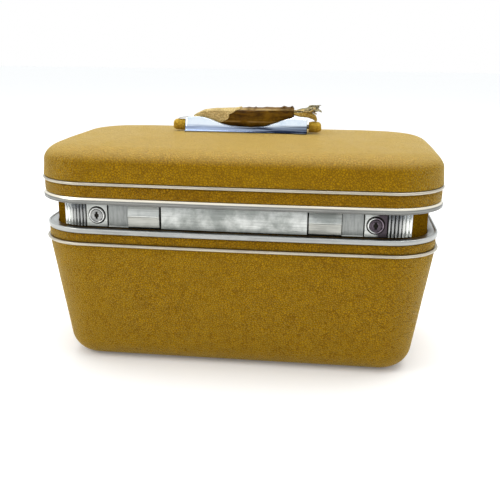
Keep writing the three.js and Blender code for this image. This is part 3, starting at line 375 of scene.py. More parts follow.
def make_materials():
    """Every material by name. trim, panel and rod say how a metal's lines run, in cycles per metre."""
    trim = ((14, 900, 1), 0.12, 0.5, True)
    panel = ((30, 400, 700), 0.16, 0.95, False)
    rod = (60, 500, 500)
    bright = ((0.66, 0.66, 0.64), (0.45, 0.45, 0.44), 0.2, rod, 0.1, 0.5)
    metals = {
        "bead": ((0.54, 0.50, 0.41), (0.35, 0.32, 0.26), 0.34, *trim),
        # Painted cream highlight along the rail's upper edge, above a dark lower face.
        "lid_rail": (
            (0.25, 0.25, 0.235), (0.19, 0.19, 0.18), 0.3, *trim,
            [("Z", 0.1650, 0.1657, (0.92, 0.86, 0.72))],
        ),
        # Painted highlight along the top edge and painted shade along the bottom.
        "rail": (
            (0.40, 0.405, 0.39), (0.31, 0.315, 0.30), 0.32, *trim,
            [("Z", 0.1358, 0.1368, (0.54, 0.55, 0.53)), ("Z", 0.1336, 0.1330, (0.26, 0.26, 0.25))],
        ),
        "rail_plain": ((0.62, 0.62, 0.60), (0.48, 0.48, 0.46), 0.28, (40, 400, 400), 0.12, 0.5),
        "plate": ((0.67, 0.68, 0.65), (0.34, 0.36, 0.335), 0.38, *panel),
        # Painted shade on the lower half of the slide, which faces down.
        "slide": (
            (0.68, 0.69, 0.655), (0.40, 0.42, 0.395), 0.38, *panel,
            [("Z", 0.1496, 0.1482, (0.42, 0.42, 0.385))],
        ),
        "plate_lock": ((0.54, 0.55, 0.52), (0.30, 0.31, 0.29), 0.4, *panel),
        # Painted dark reflection over the outer half of the right-hand lock plate and beyond it.
        "plate_dark_reflection": (
            (0.62, 0.63, 0.60), (0.36, 0.37, 0.35), 0.38, *panel,
            [("X", 0.1275, 0.1315, (0.075, 0.06, 0.07))],
        ),
        "well": ((0.36, 0.37, 0.355), (0.29, 0.30, 0.29), 0.5, (500, 400, 60), 0.15, 0.6),
        # Painted highlight on the outermost ribs, where they turn round the corner.
        "flute": (
            (0.33, 0.335, 0.33), (0.24, 0.24, 0.235), 0.22, (700, 700, 30), 0.12, 0.4, False,
            [("X", 0.148, 0.158, (0.86, 0.87, 0.84))],
        ),
        "steel": ((0.42, 0.42, 0.42), (0.27, 0.25, 0.22), 0.42, rod, 0.15, 0.7),
        "bright_steel": bright,
        # The same painted dark reflection on the outer side of the right-hand lock's rim.
        "rim_dark_reflection": (*bright, False, [("X", 0.1255, 0.1295, (0.20, 0.16, 0.19))]),
        "lock_steel": ((0.40, 0.40, 0.39), (0.26, 0.26, 0.25), 0.3, rod, 0.1, 0.6),
        # The right-hand plug: a painted dark reflection over all of it.
        "plug_dark_reflection": ((0.10, 0.08, 0.095), (0.05, 0.04, 0.05), 0.3, rod, 0.1, 0.8),
    }
    vinyls = {
        # The last value is the strength of the lid's paler top: dust with a painted sheen.
        "vinyl": ((0.16, 0.073, 0.0008), (0.37, 0.195, 0.0028), 0.5, 1.0, 0.62, 0.32),
        "vinyl_dark": ((0.13, 0.056, 0.0006), (0.33, 0.165, 0.0018), 0.6),
        # The neck's vinyl: the mustard vinyl darkened as painted shade for its recess under the lid's frame.
        "vinyl_neck_shaded": ((0.08, 0.033, 0.0003), (0.22, 0.105, 0.001), 0.6, 1.0, 0.05, 0.0, 0.0),
        "knob": ((0.27, 0.14, 0.006), (0.66, 0.42, 0.05), 0.5, 0.6),
        "wrap": ((0.44, 0.29, 0.10), (0.82, 0.62, 0.29), 0.6, 1.2),
        "strap": ((0.33, 0.19, 0.03), (0.62, 0.40, 0.10), 0.5, 1.0),
        "torn": ((0.20, 0.17, 0.10), (0.52, 0.46, 0.30), 0.8, 1.6),
    }
    cloths = {
        "lining": ((0.50, 0.35, 0.14), (0.40, 0.27, 0.10), 1400, 0.5),
        "satin": ((0.58, 0.41, 0.17), (0.46, 0.31, 0.12), 1900, 0.8),
        "ribbon": ((0.42, 0.26, 0.07), (0.30, 0.18, 0.05), 1100, 0.6),
    }
    plastics = {"tray": ((0.66, 0.58, 0.42), (0.58, 0.49, 0.32))}
    single = {"chrome": chrome, "core": worn_core, "painted_gap_shade": painted_gap_shade, "mirror": silvered}
    made = {name: make(name) for name, make in single.items()}
    for make, looks in ((metal, metals), (vinyl, vinyls), (cloth, cloths), (moulded, plastics)):
        for name, look in looks.items():
            made[name] = make(name, *look)
    return made


# ---------------------------------------------------------------- mesh helpers
@contextmanager
def editing(data, start=None):
    """Opens a mesh for editing, from its own shape or from that of another mesh."""
    mesh = bmesh.new()
    mesh.from_mesh(start or data)
    yield mesh
    mesh.to_mesh(data)
    mesh.free()


def new_object(name, vertices, faces, material, sharp=35, uvs=None):
    data = bpy.data.meshes.new(name)
    data.from_pydata([tuple(v) for v in vertices], [], faces)
    data.validate()
    if uvs is not None:
        layer = data.uv_layers.new(name="UVMap")
        for loop in data.loops:
            layer.data[loop.index].uv = uvs[loop.vertex_index]
    data.materials.append(material)
    smooth(data, sharp)
    return place_object(name, data)


def smooth(mesh, sharp):
    mesh.polygons.foreach_set("use_smooth", [True] * len(mesh.polygons))
    mesh.set_sharp_from_angle(angle=math.radians(sharp))


def settle(piece, sharp=35):
    """Applies every modifier, so the piece is a plain mesh."""
    bpy.context.view_layer.update()
    shape = bpy.data.meshes.new_from_object(piece.evaluated_get(bpy.context.evaluated_depsgraph_get()))
    piece.modifiers.clear()
    piece.data = shape
    smooth(shape, sharp)
    return piece


def modify(piece, kind, **settings):
    """Adds a modifier with its settings."""
    modifier = piece.modifiers.new(kind.lower(), kind)
    for key, value in settings.items():
        setattr(modifier, key, value)


def bevel(piece, width, segments=3, angle=30, sharp=35):
    """Rounds the edges that are sharper than the angle, by a width in millimetres."""
    limit = {"limit_method": "ANGLE", "angle_limit": math.radians(angle)}
    modify(piece, "BEVEL", width=width * MM, segments=segments, **limit)
    return settle(piece, sharp)


def thicken(piece, thickness, offset):
    modify(piece, "SOLIDIFY", thickness=thickness * MM, offset=offset)
    return settle(piece, 60)


def subtract(piece, cutters, sharp=35):
    for cutter in cutters:
        modify(piece, "BOOLEAN", operation="DIFFERENCE", solver="EXACT", object=cutter)
    settle(piece, sharp)
    for cutter in cutters:
        bpy.data.objects.remove(cutter)


def finish_piece(piece, body, slot, *nodes):
    if nodes:
        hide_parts(*nodes)
    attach(piece, body)


def skin(name, rings, material, closed=False, sharp=35, far_cap=True):
    """Skins rings of equal length. An open run is capped with a face at each end; a closed one joins up."""
    count, total = len(rings[0]), len(rings)
    faces = []
    for k in range(total if closed else total - 1):
        low, high = k * count, (k + 1) % total * count
        for i in range(count):
            j = (i + 1) % count
            faces.append((low + i, low + j, high + j, high + i))
    if not closed:
        faces.append(tuple(range(count))[::-1])
        if far_cap:
            faces.append(tuple(range((total - 1) * count, total * count)))
    steps = [math.dist(rings[0][i][:3], rings[0][(i + 1) % count][:3]) for i in range(count)]
    lengths = np.cumsum([0] + steps)[:count]
    uvs = [(lengths[i], k * 0.002) for k in range(total) for i in range(count)]
    made = new_object(name, [point for ring in rings for point in ring], faces, material, sharp, uvs)
    with editing(made.data) as mesh:
        bmesh.ops.recalc_face_normals(mesh, faces=mesh.faces)
    return made


def rounded(points, radius, steps=4):
    """A closed section with its corners rounded; each corner's radius is limited by its shorter side."""
    out = []
    count = len(points)
    for i in range(count):
        a, b, c = (Vector(points[(i + k) % count]) for k in (-1, 0, 1))
        reach = min(radius, 0.45 * (a - b).length, 0.45 * (c - b).length)
        start, end = b + (a - b).normalized() * reach, b + (c - b).normalized() * reach
        for k in range(steps + 1):
            t = k / steps
            out.append((1 - t) ** 2 * start + 2 * t * (1 - t) * b + t ** 2 * end)
    return out


# ---------------------------------------------------------------- plan outlines (millimetres)
FRONT_BOW = 4.0
SIDE_BOW = 2.0
LID_PLAN = (190.0, 105.0, 50.0)
NECK_PLAN = (177.5, 91.8, 37.0)
BODY_PLAN = (185.5, 100.5, 42.0)
FOOT_PLAN = (168.4, 85.9, 30.0)


def inset(plan, distance):
    w, d, r = plan
    return (w - distance, d - distance, max(r - distance, 5.0))


def level(plan, distance, z, *more, **options):
    """An outline moved inwards."""
    return outline(inset(plan, distance), z, *more, **options)


def levels(*places, **options):
    """Several levels, each given as (plan, inset, height)."""
    return [level(*place, **options) for place in places]


def between(a, b, t):
    return tuple(p + (q - p) * t for p, q in zip(a, b))


def outline(plan, z, bow=1.0, scale=1.0, corner=14, front=36, side=16):
    """A level of the case: a rounded rectangle whose sides bulge, counter-clockwise, in metres."""
    w, d, r = plan
    flat = []

    def arc(cx, cy, start):
        for i in range(corner + 1):
            angle = start + math.pi / 2 * i / corner
            flat.append((cx + r * math.cos(angle), cy + r * math.sin(angle)))

    def run(x0, y0, x1, y1, steps):
        for i in range(1, steps):
            flat.append((x0 + (x1 - x0) * i / steps, y0 + (y1 - y0) * i / steps))

    arc(w - r, d - r, 0)
    run(w - r, d, r - w, d, front)
    arc(r - w, d - r, math.pi / 2)
    run(-w, d - r, -w, r - d, side)
    arc(r - w, r - d, math.pi)
    run(r - w, -d, w - r, -d, front)
    arc(w - r, r - d, -math.pi / 2)
    run(w, r - d, w, d - r, side)
    ring = []
    for x, y in flat:
        bulge_y = math.copysign(bow * FRONT_BOW * (1 - (x / w) ** 2), y)
        bulge_x = math.copysign(bow * SIDE_BOW * (1 - (y / d) ** 2), x)
        ring.append((scale * (x + bulge_x) * MM, scale * (y + bulge_y) * MM, z * MM))
    return ring


def hoop(name, section, material, radius=0.6, steps=3, sharp=50):
    """A trim that runs round the case. The section's points are (plan, inset, height)."""
    plans = [plan for plan, _, _ in section]
    flat = [(plan[0] - distance, z) for plan, distance, z in section]
    rings = []
    soft = rounded(flat, radius, steps)
    for i, point in enumerate(soft):
        plan = plans[(i // (steps + 1)) % len(plans)]
        rings.append(level(plan, plan[0] - point.x, point.y))
    return skin(name, rings, material, True, sharp)


def clamp(value, low=0, high=1):
    return min(max(value, low), high)


def soften(value, power):
    return math.copysign(abs(value) ** power, value)


def turns(count):
    """Angles round a full circle."""
    return [2 * math.pi * i / count for i in range(count)]


def wander(x, y, z):
    return noise.noise(Vector((x, y, z)))


def lumps(place, size, amount):
    return amount * noise.noise(place / size)


def ripple(piece, amount, wavelength, keep=None):
    """Moves the vertices by a slow noise, as covered board is never perfectly flat."""
    for vertex in piece.data.vertices:
        if keep and keep(vertex.co):
            continue
        shift = noise.noise(vertex.co / wavelength) * amount
        shift += 0.4 * noise.noise(vertex.co / (0.37 * wavelength)) * amount
        vertex.co += vertex.normal * shift
    piece.data.update()


# ---------------------------------------------------------------- shells and trims
BODY_TOP = 120.7
BOTTOM_EDGE = 19.3
FRAME_BOTTOM = 132.6
LID_FRAME_BOTTOM = 161.3
LID_FRAME_TOP = 167.3
LID_BEAD = (178.5, 181.5)
BASE_BEAD = (121.0, 124.0)
LID_WALL_TOP = 196.5
CASE_HEIGHT = 219.0
CROWN = 6.0
LID_BEND = 24.0
NECK_TOP = 168.0
SHELL_THICK = 5.5
LID_THICK = 5.2
LID_WALL_PLAN = inset(LID_PLAN, 0.8)


def body_plan(z):
    return between(FOOT_PLAN, BODY_PLAN, z / BODY_TOP)


def wall_level(z, distance=0):
    """A level of the base's leaning wall."""
    return level(body_plan(z), distance, z, z / BODY_TOP)


def make_base_shell(m):
    rings = []
    for i in range(11):
        angle = math.pi / 2 * (10 - i) / 10
        rings.append(wall_level(BOTTOM_EDGE * (1 - math.sin(angle)), BOTTOM_EDGE * (1 - math.cos(angle))))
    for i in range(1, 21):
        rings.append(wall_level(BOTTOM_EDGE + (BODY_TOP - 1.2 - BOTTOM_EDGE) * i / 20))
    rings += levels(
        (BODY_PLAN, 0.4, BODY_TOP), (BODY_PLAN, 1.5, BODY_TOP), (BODY_PLAN, 1.5, FRAME_BOTTOM - 0.3),
        (NECK_PLAN, -0.6, FRAME_BOTTOM - 0.3), (NECK_PLAN, -0.6, 119),
    )
    rings += [wall_level(z, SHELL_THICK) for z in (117, 92, 70, 45, 20)]
    rings += [wall_level(9, 9.5), level(body_plan(5), 19.5, 5, 0)]
    piece = skin("base_covering", rings, m["vinyl"])
    ripple(piece, 0.00035, 0.07, lambda co: co.z < 0.003 or co.z > 0.119)
    finish_piece(piece, "base", "mustard_vinyl", "base_shell")


def lid_skin(thickness, crown):
    """Levels of the lid's bend and crown, a thickness below its surface."""
    rings = []
    wall = LID_WALL_PLAN
    top = CASE_HEIGHT - CROWN - LID_WALL_TOP
    plan, z = wall, LID_WALL_TOP
    for i in range(15):
        angle = 0.93 * math.pi / 2 * i / 14
        pull = 1 + (LID_BEND - thickness) * (1 - math.cos(angle)) + thickness
        plan = (wall[0] - pull, wall[1] - pull, wall[2] - 0.6 * pull)
        z = LID_WALL_TOP + (top - thickness) * math.sin(angle)
        rings.append(outline(plan, z))
    for scale in crown:
        height = z + (CASE_HEIGHT - thickness - z) * (1 - scale ** 2)
        rings.append(outline(plan, height, scale=scale))
    return rings


def make_lid_shell(m):
    crown = [1 - 0.05 * i for i in range(1, 20)]
    inside = lid_skin(LID_THICK, crown[1::3])[::-1]
    wall, fit = LID_WALL_PLAN, inset(NECK_PLAN, -1.8)
    rim = levels(
        (wall, 5.6, 176), (fit, 0, 172), (fit, 0, LID_FRAME_TOP + 0.3), (LID_PLAN, 3, LID_FRAME_TOP + 0.3),
        (LID_PLAN, 3, LID_BEAD[1] + 0.3), (wall, 0.9, LID_BEAD[1] + 0.3), (wall, 0, LID_BEAD[1] + 1.2),
        (wall, 0.35, 186), (wall, 0.75, 191.5),
    )
    piece = skin("lid_covering", inside + rim + lid_skin(0, crown), m["vinyl"])
    ripple(piece, 0.0003, 0.08, lambda co: co.z < 0.184)
    finish_piece(piece, "lid", "mustard_vinyl", "lid_shell")


def even_section(plan, low, high, *steps):
    """A section that is the same upwards and downwards. The steps are (inset, distance from the edge)."""
    lower = [(plan, distance, low + rise) for distance, rise in steps]
    return lower + [(plan, distance, high - rise) for distance, rise in steps[::-1]]


def make_trims(m):
    """The hoops round the case, each with its section."""
    base_bead = even_section(BODY_PLAN, *BASE_BEAD, (1.2, 0), (-1.6, 0), (-2.5, 0.8))
    lid_bead = even_section(LID_PLAN, *LID_BEAD, (2.7, 0), (0.9, 0), (0, 0.8))
    stripe = BASE_BEAD[1] + 0.3, FRAME_BOTTOM - 0.3
    base_stripe = even_section(BODY_PLAN, *stripe, (1.2, 0), (0.5, 0), (0, 1.7))
    lid_stripe = [
        (LID_PLAN, 2.7, LID_FRAME_TOP + 0.3), (LID_PLAN, 2.0, LID_FRAME_TOP + 0.3), (LID_PLAN, 1.5, 169.5),
        (LID_PLAN, 1.5, 176.4), (LID_PLAN, 2.0, LID_BEAD[0] - 0.3), (LID_PLAN, 2.7, LID_BEAD[0] - 0.3),
    ]
    base_rail = [
        (LID_PLAN, 3.4, FRAME_BOTTOM), (LID_PLAN, 2.7, FRAME_BOTTOM + 0.8), (LID_PLAN, 2.7, 136.9),
        (LID_PLAN, 3.4, 137.6), (LID_PLAN, 4.7, 137.6), (LID_PLAN, 5.6, 136.8),
        (NECK_PLAN, -0.3, 136.8), (NECK_PLAN, -0.3, FRAME_BOTTOM),
    ]
    lid_rail = [
        (LID_PLAN, 1.0, LID_FRAME_BOTTOM), (LID_PLAN, 0.1, LID_FRAME_BOTTOM + 0.8),
        (LID_PLAN, 0.35, LID_FRAME_BOTTOM + 1.7), (LID_PLAN, 0, LID_FRAME_TOP - 2.8),
        (LID_PLAN, 1.6, LID_FRAME_TOP - 0.1), (LID_PLAN, 2.4, LID_FRAME_TOP),
        (NECK_PLAN, -1.4, LID_FRAME_TOP), (NECK_PLAN, -1.4, LID_FRAME_BOTTOM),
    ]
    for name, section, finish, corners, body, slot, node in (
        ("base_piping", base_bead, "bead", (1.2, 4, 60), "base", "trim_aluminium", "base_bead"),
        ("lid_piping", lid_bead, "bead", (1.2, 4, 60), "lid", "trim_aluminium", "lid_bead"),
        ("base_band", base_stripe, "vinyl_dark", (1.0,), "base", "mustard_vinyl", "base_stripe"),
        ("lid_band", lid_stripe, "vinyl_dark", (1.0,), "lid", "mustard_vinyl", "lid_stripe"),
        ("base_rail", base_rail, "rail", (0.9,), "base", "trim_aluminium", "base_frame"),
        ("lid_rail", lid_rail, "lid_rail", (0.5,), "lid", "trim_aluminium", "lid_frame"),
    ):
        finish_piece(hoop(name, section, m[finish], *corners), body, slot, node)


# ---------------------------------------------------------------- neck and latch panel
PANEL = (138.3, 160.0)
LATCH_X = (68.6, 98.0)
WELL_END = 118.0
LOCK_END = 138.5
FLUTE_END = 160.5
LOCK_X = (WELL_END + LOCK_END) / 2
LOCK_Z = (PANEL[0] + PANEL[1]) / 2
LOCK_FACE = -97.6
LOCK_HOLE = 8.45
SHADE_RING_RADIUS = 8.7
KEY_SLOT = (1.1, 3.4)
KEY_EYE = 2.4
PLATE_BACK = 0.3
PLATE_FACE = 2.0
FRONT_CUT = (-105, -85)
LOCK_FINISHES = {
    "left": ("bright_steel", "lock_steel", "plate_lock"),
    # The right-hand lock's finishes carry a painted dark reflection.
    "right": ("rim_dark_reflection", "plug_dark_reflection", "plate_dark_reflection"),
}


def span(side, a, b):
    """The two ends of a stretch on one side of the middle, in rising order."""
    return sorted((side * a, side * b))


def neck_point(x, outwards):
    """A point on the neck's front, pushed outwards, following the corner arc past its start."""
    w, d, r = NECK_PLAN
    bulge = FRONT_BOW * (1 - (x / w) ** 2)
    past = max(abs(x) - (w - r), 0)
    angle = math.asin(past / r)
    along = abs(x) - past + ((r + outwards) * math.sin(angle) if past else 0)
    across = d - r + (r + outwards) * math.cos(angle) if past else d + outwards
    return math.copysign(along, x), -(across + bulge)


def prism(name, points, low, high, axis, material, edge=0.35, segments=3):
    """A closed outline in millimetres, drawn out along an axis, with its edges rounded."""
    place = {"x": lambda p, t: (t, *p), "y": lambda p, t: (p[0], t, p[1]), "z": lambda p, t: (*p, t)}[axis]
    data = bpy.data.meshes.new(name)
    with editing(data) as mesh:
        rows = [[mesh.verts.new(Vector(place(p, t)) * MM) for p in points] for t in (low, high)]
        for row in rows:
            mesh.faces.new(row)
        for i in range(len(points)):
            j = (i + 1) % len(points)
            mesh.faces.new((rows[0][i], rows[0][j], rows[1][j], rows[1][i]))
        bmesh.ops.recalc_face_normals(mesh, faces=mesh.faces)
    data.materials.append(material)
    made = place_object(name, data)
    return bevel(made, edge, segments) if edge else made


def panel_plate(name, ends, inner, outer, heights, material, steps=8, edge=0.4):
    """A plate that follows the neck's front, between two distances from it."""
    xs = [ends[0] + (ends[1] - ends[0]) * i / steps for i in range(steps + 1)]
    points = [neck_point(x, outer) for x in xs] + [neck_point(x, inner) for x in reversed(xs)]
    return prism(name, points, *heights, "z", material, edge)


def turned(name, profile, axis, centre, material, sides=64, sharp=35):
    """A turned piece: the profile's points are (radius, distance along the axis), in millimetres."""
    def point(radius, along, angle):
        a, b = radius * math.cos(angle), radius * math.sin(angle)
        local = {"x": (along, a, b), "y": (b, along, a), "z": (a, b, along)}[axis]
        return (Vector(local) + Vector(centre)) * MM

    rings = [[point(radius, along, angle) for angle in turns(sides)] for radius, along in profile]
    return skin(name, rings, material, False, sharp)


def cylinder(radius, low, high, axis, centre, sides=32):
    return turned("cutter", [(radius, low), (radius, high)], axis, centre, None, sides)


def cuboid(xs, ys, zs, material=None, edge=0):
    corners = [(xs[0], ys[0]), (xs[1], ys[0]), (xs[1], ys[1]), (xs[0], ys[1])]
    return prism("cuboid", corners, *zs, "z", material, edge, 2)


def make_neck(m):
    section = [(NECK_PLAN, 0, z) for z in (122, 137.6, LID_FRAME_BOTTOM - 0.2, 167.2)]
    section += [(NECK_PLAN, 0.8, NECK_TOP), (NECK_PLAN, 2.5, NECK_TOP), (NECK_PLAN, 2.5, 122)]
    piece = hoop("neck_band", section, m["vinyl_neck_shaded"], 0.6, 2)
    cutters = []
    for side, _ in SIDES:
        cutters.append(cuboid(span(side, 78.5, 97.5), FRONT_CUT, (145, 153)))
        cutters.append(cylinder(4.8, *FRONT_CUT, "y", (side * LOCK_X, 0, LOCK_Z)))
    subtract(piece, cutters)
    # The neck's faces behind the latch panel, between the rail and the lid's frame, take the near-black
    # painted shade of the gap.
    piece.data.materials.append(m["painted_gap_shade"])
    for face in piece.data.polygons:
        centre = face.center / MM
        behind = abs(centre.x) < FLUTE_END and centre.y < 0 and 137 < centre.z < LID_FRAME_BOTTOM
        face.material_index = 1 if behind else 0
    finish_piece(piece, "base", "mustard_vinyl", "neck")


def make_flutes(side, hand, m):
    """The ribbed plate that wraps the neck's corner."""
    ribs, samples, back = 7, 9, 8
    start, end = LOCK_END + 0.3, FLUTE_END
    points = []
    for i in range(ribs * samples + 1):
        height = 0.7 + 2.3 * abs(math.sin(math.pi * (i % samples) / samples)) ** 0.55
        points.append(neck_point(side * (start + (end - start) * i / (ribs * samples)), height))
    points += [neck_point(side * (end - (end - start) * i / back), PLATE_BACK) for i in range(back + 1)]
    piece = prism(f"flutes_{hand}", points, *PANEL, "z", m["flute"], 0)
    smooth(piece.data, 50)
    bevel(piece, 0.2, 2, 60, 50)
    finish_piece(piece, "base", "satin_plate", f"fluted_end_{hand}")


def make_slider(side, hand, m):
    """The thumb slide with a lip along its front, and the stem and bolt behind it."""
    lip = LOCK_Z + 0.6
    section = [
        (-96.4, 139.6), (-96.4, 159.6), (-97.9, 159.6), (-99.6, lip + 3.4), (-100.6, lip + 1.1),
        (-100.6, lip), (-99.2, lip - 0.6), (-98.9, lip - 3), (-98.6, 139.6),
    ]
    piece = prism(f"thumb_slide_{hand}", section, *span(side, *LATCH_X), "x", m["slide"])
    stem = cuboid(span(side, 80, 86), (-96.6, -91), (146, 152), m["steel"], 0.2)
    bolt = cuboid(span(side, 72, 92), (-91.9, -90.4), (143, 155), m["steel"], 0.2)
    join_into(piece, [stem, bolt])
    finish_piece(piece, f"latch_{hand}", "satin_plate", f"latch_slider_{hand}")


def join_into(piece, others):
    with bpy.context.temp_override(active_object=piece, selected_editable_objects=[piece, *others]):
        bpy.ops.object.join()


def make_lock(side, hand, m):
    """Lock plate with a dark gap round the cylinder's polished rim, and the plug with its keyhole. A
    near-black ring at the bottom of the gap and a near-black disc inside the keyhole are painted shade.
    """
    centre = (side * LOCK_X, 0, LOCK_Z)
    face = LOCK_FACE
    rim_finish, plug_finish, plate_finish = (m[key] for key in LOCK_FINISHES[hand])
    ring = turned(f"lock_rim_{hand}", [
        (5.7, -96.0), (5.7, -97.0), (6.0, -97.4), (6.6, -97.75), (7.1, -97.6), (7.45, -97.0), (7.5, -96.0),
    ], "y", centre, rim_finish)
    close_ring(ring)
    finish_piece(ring, "base", "bright_chrome", f"lock_ring_{hand}")
    plug = turned(f"lock_core_{hand}", [
        (4.2, -90), (4.2, face + 1.3), (5.45, face + 1.3), (5.45, face + 0.45), (5.1, face + 0.1),
        (4.5, face), (4.3, face + 0.3), (3.9, face + 0.3), (3.7, face), (0.4, face - 0.04),
    ], "y", centre, plug_finish)
    x, _, z = centre
    wide, tall = KEY_SLOT
    slot = cuboid((x - wide, x + wide), (face - 1, face + 2.6), (z - tall, z + tall))
    eye = cylinder(KEY_EYE, face - 1, face + 2.6, "y", centre, 6)
    subtract(plug, [slot, eye])
    bevel(plug, 0.12, 2, 40)
    # A near-black disc set inside the keyhole: painted shade.
    keyhole_shade = turned("keyhole_shade", [(3.6, face + 1.0), (3.6, face + 1.6)], "y", centre, m["painted_gap_shade"])
    cam = cuboid((x - 2.5, x + 2.5), (-90.6, -89.1), (z - 5, z + 11), m["steel"], 0.3)
    join_into(plug, [cam, keyhole_shade])
    finish_piece(plug, f"plug_{hand}", "bright_chrome", f"lock_plug_{hand}")
    ends = span(side, WELL_END + 0.5, LOCK_END)
    plate = panel_plate(f"lock_face_{hand}", ends, PLATE_BACK, PLATE_FACE, PANEL, plate_finish)
    subtract(plate, [cylinder(LOCK_HOLE, *FRONT_CUT, "y", centre, 64)])
    # A near-black ring at the bottom of the gap round the rim: painted shade.
    shade_ring_profile = [(5.0, -94.8), (5.0, -95.3), (SHADE_RING_RADIUS, -95.3), (SHADE_RING_RADIUS, -94.8)]
    shade_ring = turned("shade_ring", shade_ring_profile, "y", centre, m["painted_gap_shade"])
    close_ring(shade_ring)
    join_into(plate, [shade_ring])
    finish_piece(plate, "base", "satin_plate", f"lock_plate_{hand}")


def close_ring(piece):
    """Turns an open turned band into a ring by joining its first and last circles."""
    with editing(piece.data) as mesh:
        caps = [face for face in mesh.faces if len(face.verts) > 4]
        bmesh.ops.delete(mesh, geom=caps, context="FACES_ONLY")
        bmesh.ops.bridge_loops(mesh, edges=[edge for edge in mesh.edges if edge.is_boundary])
        bmesh.ops.recalc_face_normals(mesh, faces=mesh.faces)
    smooth(piece.data, 50)


def make_panel(m):
    centre = panel_plate("name_plate", (-67.3, 67.3), PLATE_BACK, PLATE_FACE, PANEL, m["plate"], 20)
    finish_piece(centre, "base", "satin_plate", "centre_plate")
    for side, hand in SIDES:
        ends = span(side, LATCH_X[1] + 0.4, WELL_END - 0.5)
        floor = panel_plate(f"well_floor_{hand}", ends, PLATE_BACK, 1.0, PANEL, m["well"], 6, 0.15)
        lip = (PANEL[0], PANEL[0] + 1.1)
        ledge = panel_plate("ledge", ends, 1.02, PLATE_FACE, lip, m["plate"], 6, 0.2)
        join_into(floor, [ledge])
        finish_piece(floor, "base", "satin_plate", f"button_well_{hand}")
        make_flutes(side, hand, m)
        make_slider(side, hand, m)
        make_lock(side, hand, m)


# ---------------------------------------------------------------- handle
SADDLE_LENGTH = 61.0
SADDLE_DEPTH = 12.0
SADDLE_TOP = (
    (0, 223.7), (10, 224.0), (20, 225.3), (30, 228.4), (38, 231.3), (44, 232.9), (50, 233.3), (61, 232.3),
)
SADDLE_DISH = 2.2
LEAN_FROM = 223.0
LEAN = 0.3
FLANGE_DEPTH = 16.0
FLANGE_TOP = 220.3
KNOB_Z = 224.6
GRIP_START = -40.0
GRIP_END = 47.4
WRAP_START = -54.0
COLLAR_Z = 239.2
VINYL_THICK = 0.6
COLLAR_HEIGHTS = (235.4, 245.7)
GRIP_DEPTH = 11.0
GRIP_NARROWING = 6.0


def saddle_top(x):
    """Height of the saddle's top: a smooth curve through the measured places."""
    reach = min(abs(x), SADDLE_LENGTH)
    places = [(-SADDLE_TOP[1][0], SADDLE_TOP[1][1]), *SADDLE_TOP, (72, 232.4)]
    i = max(k for k in range(1, len(places) - 2) if places[k][0] <= reach or k == 1)
    (xa, a), (xb, b), (xc, c), (xd, d) = places[i - 1:i + 3]
    t = (reach - xb) / (xc - xb)
    out = (c - a) / (xc - xa) * (xc - xb)
    into = (d - b) / (xd - xb) * (xc - xb)
    return (
        (2 * t ** 3 - 3 * t ** 2 + 1) * b + (t ** 3 - 2 * t ** 2 + t) * out
        + (3 * t ** 2 - 2 * t ** 3) * c + (t ** 3 - t ** 2) * into
    )


def crown_height(x, y):
    """The lid's upper surface near the handle."""
    w, d = LID_PLAN[0] - 25, LID_PLAN[1] - 25
    share = max(abs(x) / w, abs(y) / d)
    return CASE_HEIGHT - CROWN * min(share, 1) ** 2


def make_saddle(m):
    """Chrome saddle on a thin flange: hollowed along its top, dished across it, with rounded shoulders."""
    rings = []
    stations = [-61, -60.7, -60, -59] + [-58 + 116 * i / 58 for i in range(59)] + [59, 60, 60.7, 61]
    for x in stations:
        end = max(0.0, abs(x) - 59) / 2
        shrink = 1.2 * (1 - math.sqrt(max(0.0, 1 - end ** 2)))
        top = saddle_top(x) - shrink
        half = SADDLE_DEPTH - shrink
        flange = FLANGE_DEPTH - shrink
        foot = crown_height(x, flange) + 0.15
        rim = half - LEAN * (top - LEAN_FROM)
        front = [
            (flange, foot), (flange, FLANGE_TOP), (half + 0.5, FLANGE_TOP), (half, LEAN_FROM), (rim, top),
            (rim - 1.1, top - 0.1), (rim * 0.55, top - 0.75 * SADDLE_DISH),
        ]
        section = front + [(0, top - SADDLE_DISH)] + [(-y, z) for y, z in reversed(front)]
        rings.append([(x * MM, p.x * MM, p.y * MM) for p in rounded(section, 0.6, 4)])
    piece = skin("saddle", rings, m["chrome"], False, 60)
    bores = [cylinder(2.4, *span(side, 51, 65), "x", (0, 0, KNOB_Z)) for side, _ in SIDES]
    subtract(piece, bores, 60)
    finish_piece(piece, "lid", "bright_chrome", "handle_saddle")


def make_knob(side, hand, m):
    profile = [
        (2.6, 62.5), (4.4, 62.5), (5.0, 62.9), (5.3, 64), (5.5, 66.5), (5.4, 70), (5.0, 72.4), (4.2, 73.9),
        (3.1, 74.7), (1.6, 74.95), (0.3, 75.0),
    ]
    profile = [(radius, side * along) for radius, along in profile]
    piece = turned(f"end_cap_{hand}", profile, "x", (0, 0, KNOB_Z), m["knob"], 40)
    subtract(piece, [cylinder(2.5, *span(side, 55, 68.4), "x", (0, 0, KNOB_Z))])
    ripple(piece, 0.0004, 0.005)
    finish_piece(piece, "lid", "mustard_vinyl", f"handle_knob_{hand}")


def grip_limits(x):
    """Heights of the grip's underside and top."""
    droop = 6.6 * (max(-30 - x, 0) / 24) ** 2.6
    bottom = saddle_top(x) - SADDLE_DISH + 1.9 - clamp((-40 - x) / 14)
    return bottom, max(242.3 + 0.038 * x - droop, bottom + 0.9)


def grip_point(x, angle, grow=0.0):
    """A point on the grip and its middle's height: flattish on top, with a cord under its upper edges."""
    bottom, top = grip_limits(x)
    half = GRIP_DEPTH - GRIP_NARROWING * (x / 50) ** 2
    middle = (top + bottom) / 2
    tall = max((top - bottom) / 2 + grow, 0.2)
    y = (half + grow) * soften(math.cos(angle), 0.66)
    z = middle + tall * soften(math.sin(angle), 0.5 if math.sin(angle) > 0 else 0.75)
    cord = math.exp(-((abs(math.cos(angle)) - 0.86) / 0.09) ** 2) if math.sin(angle) > 0 else 0
    y += math.copysign(0.7 * cord * min(tall / 3, 1), math.cos(angle))
    return y, z, middle


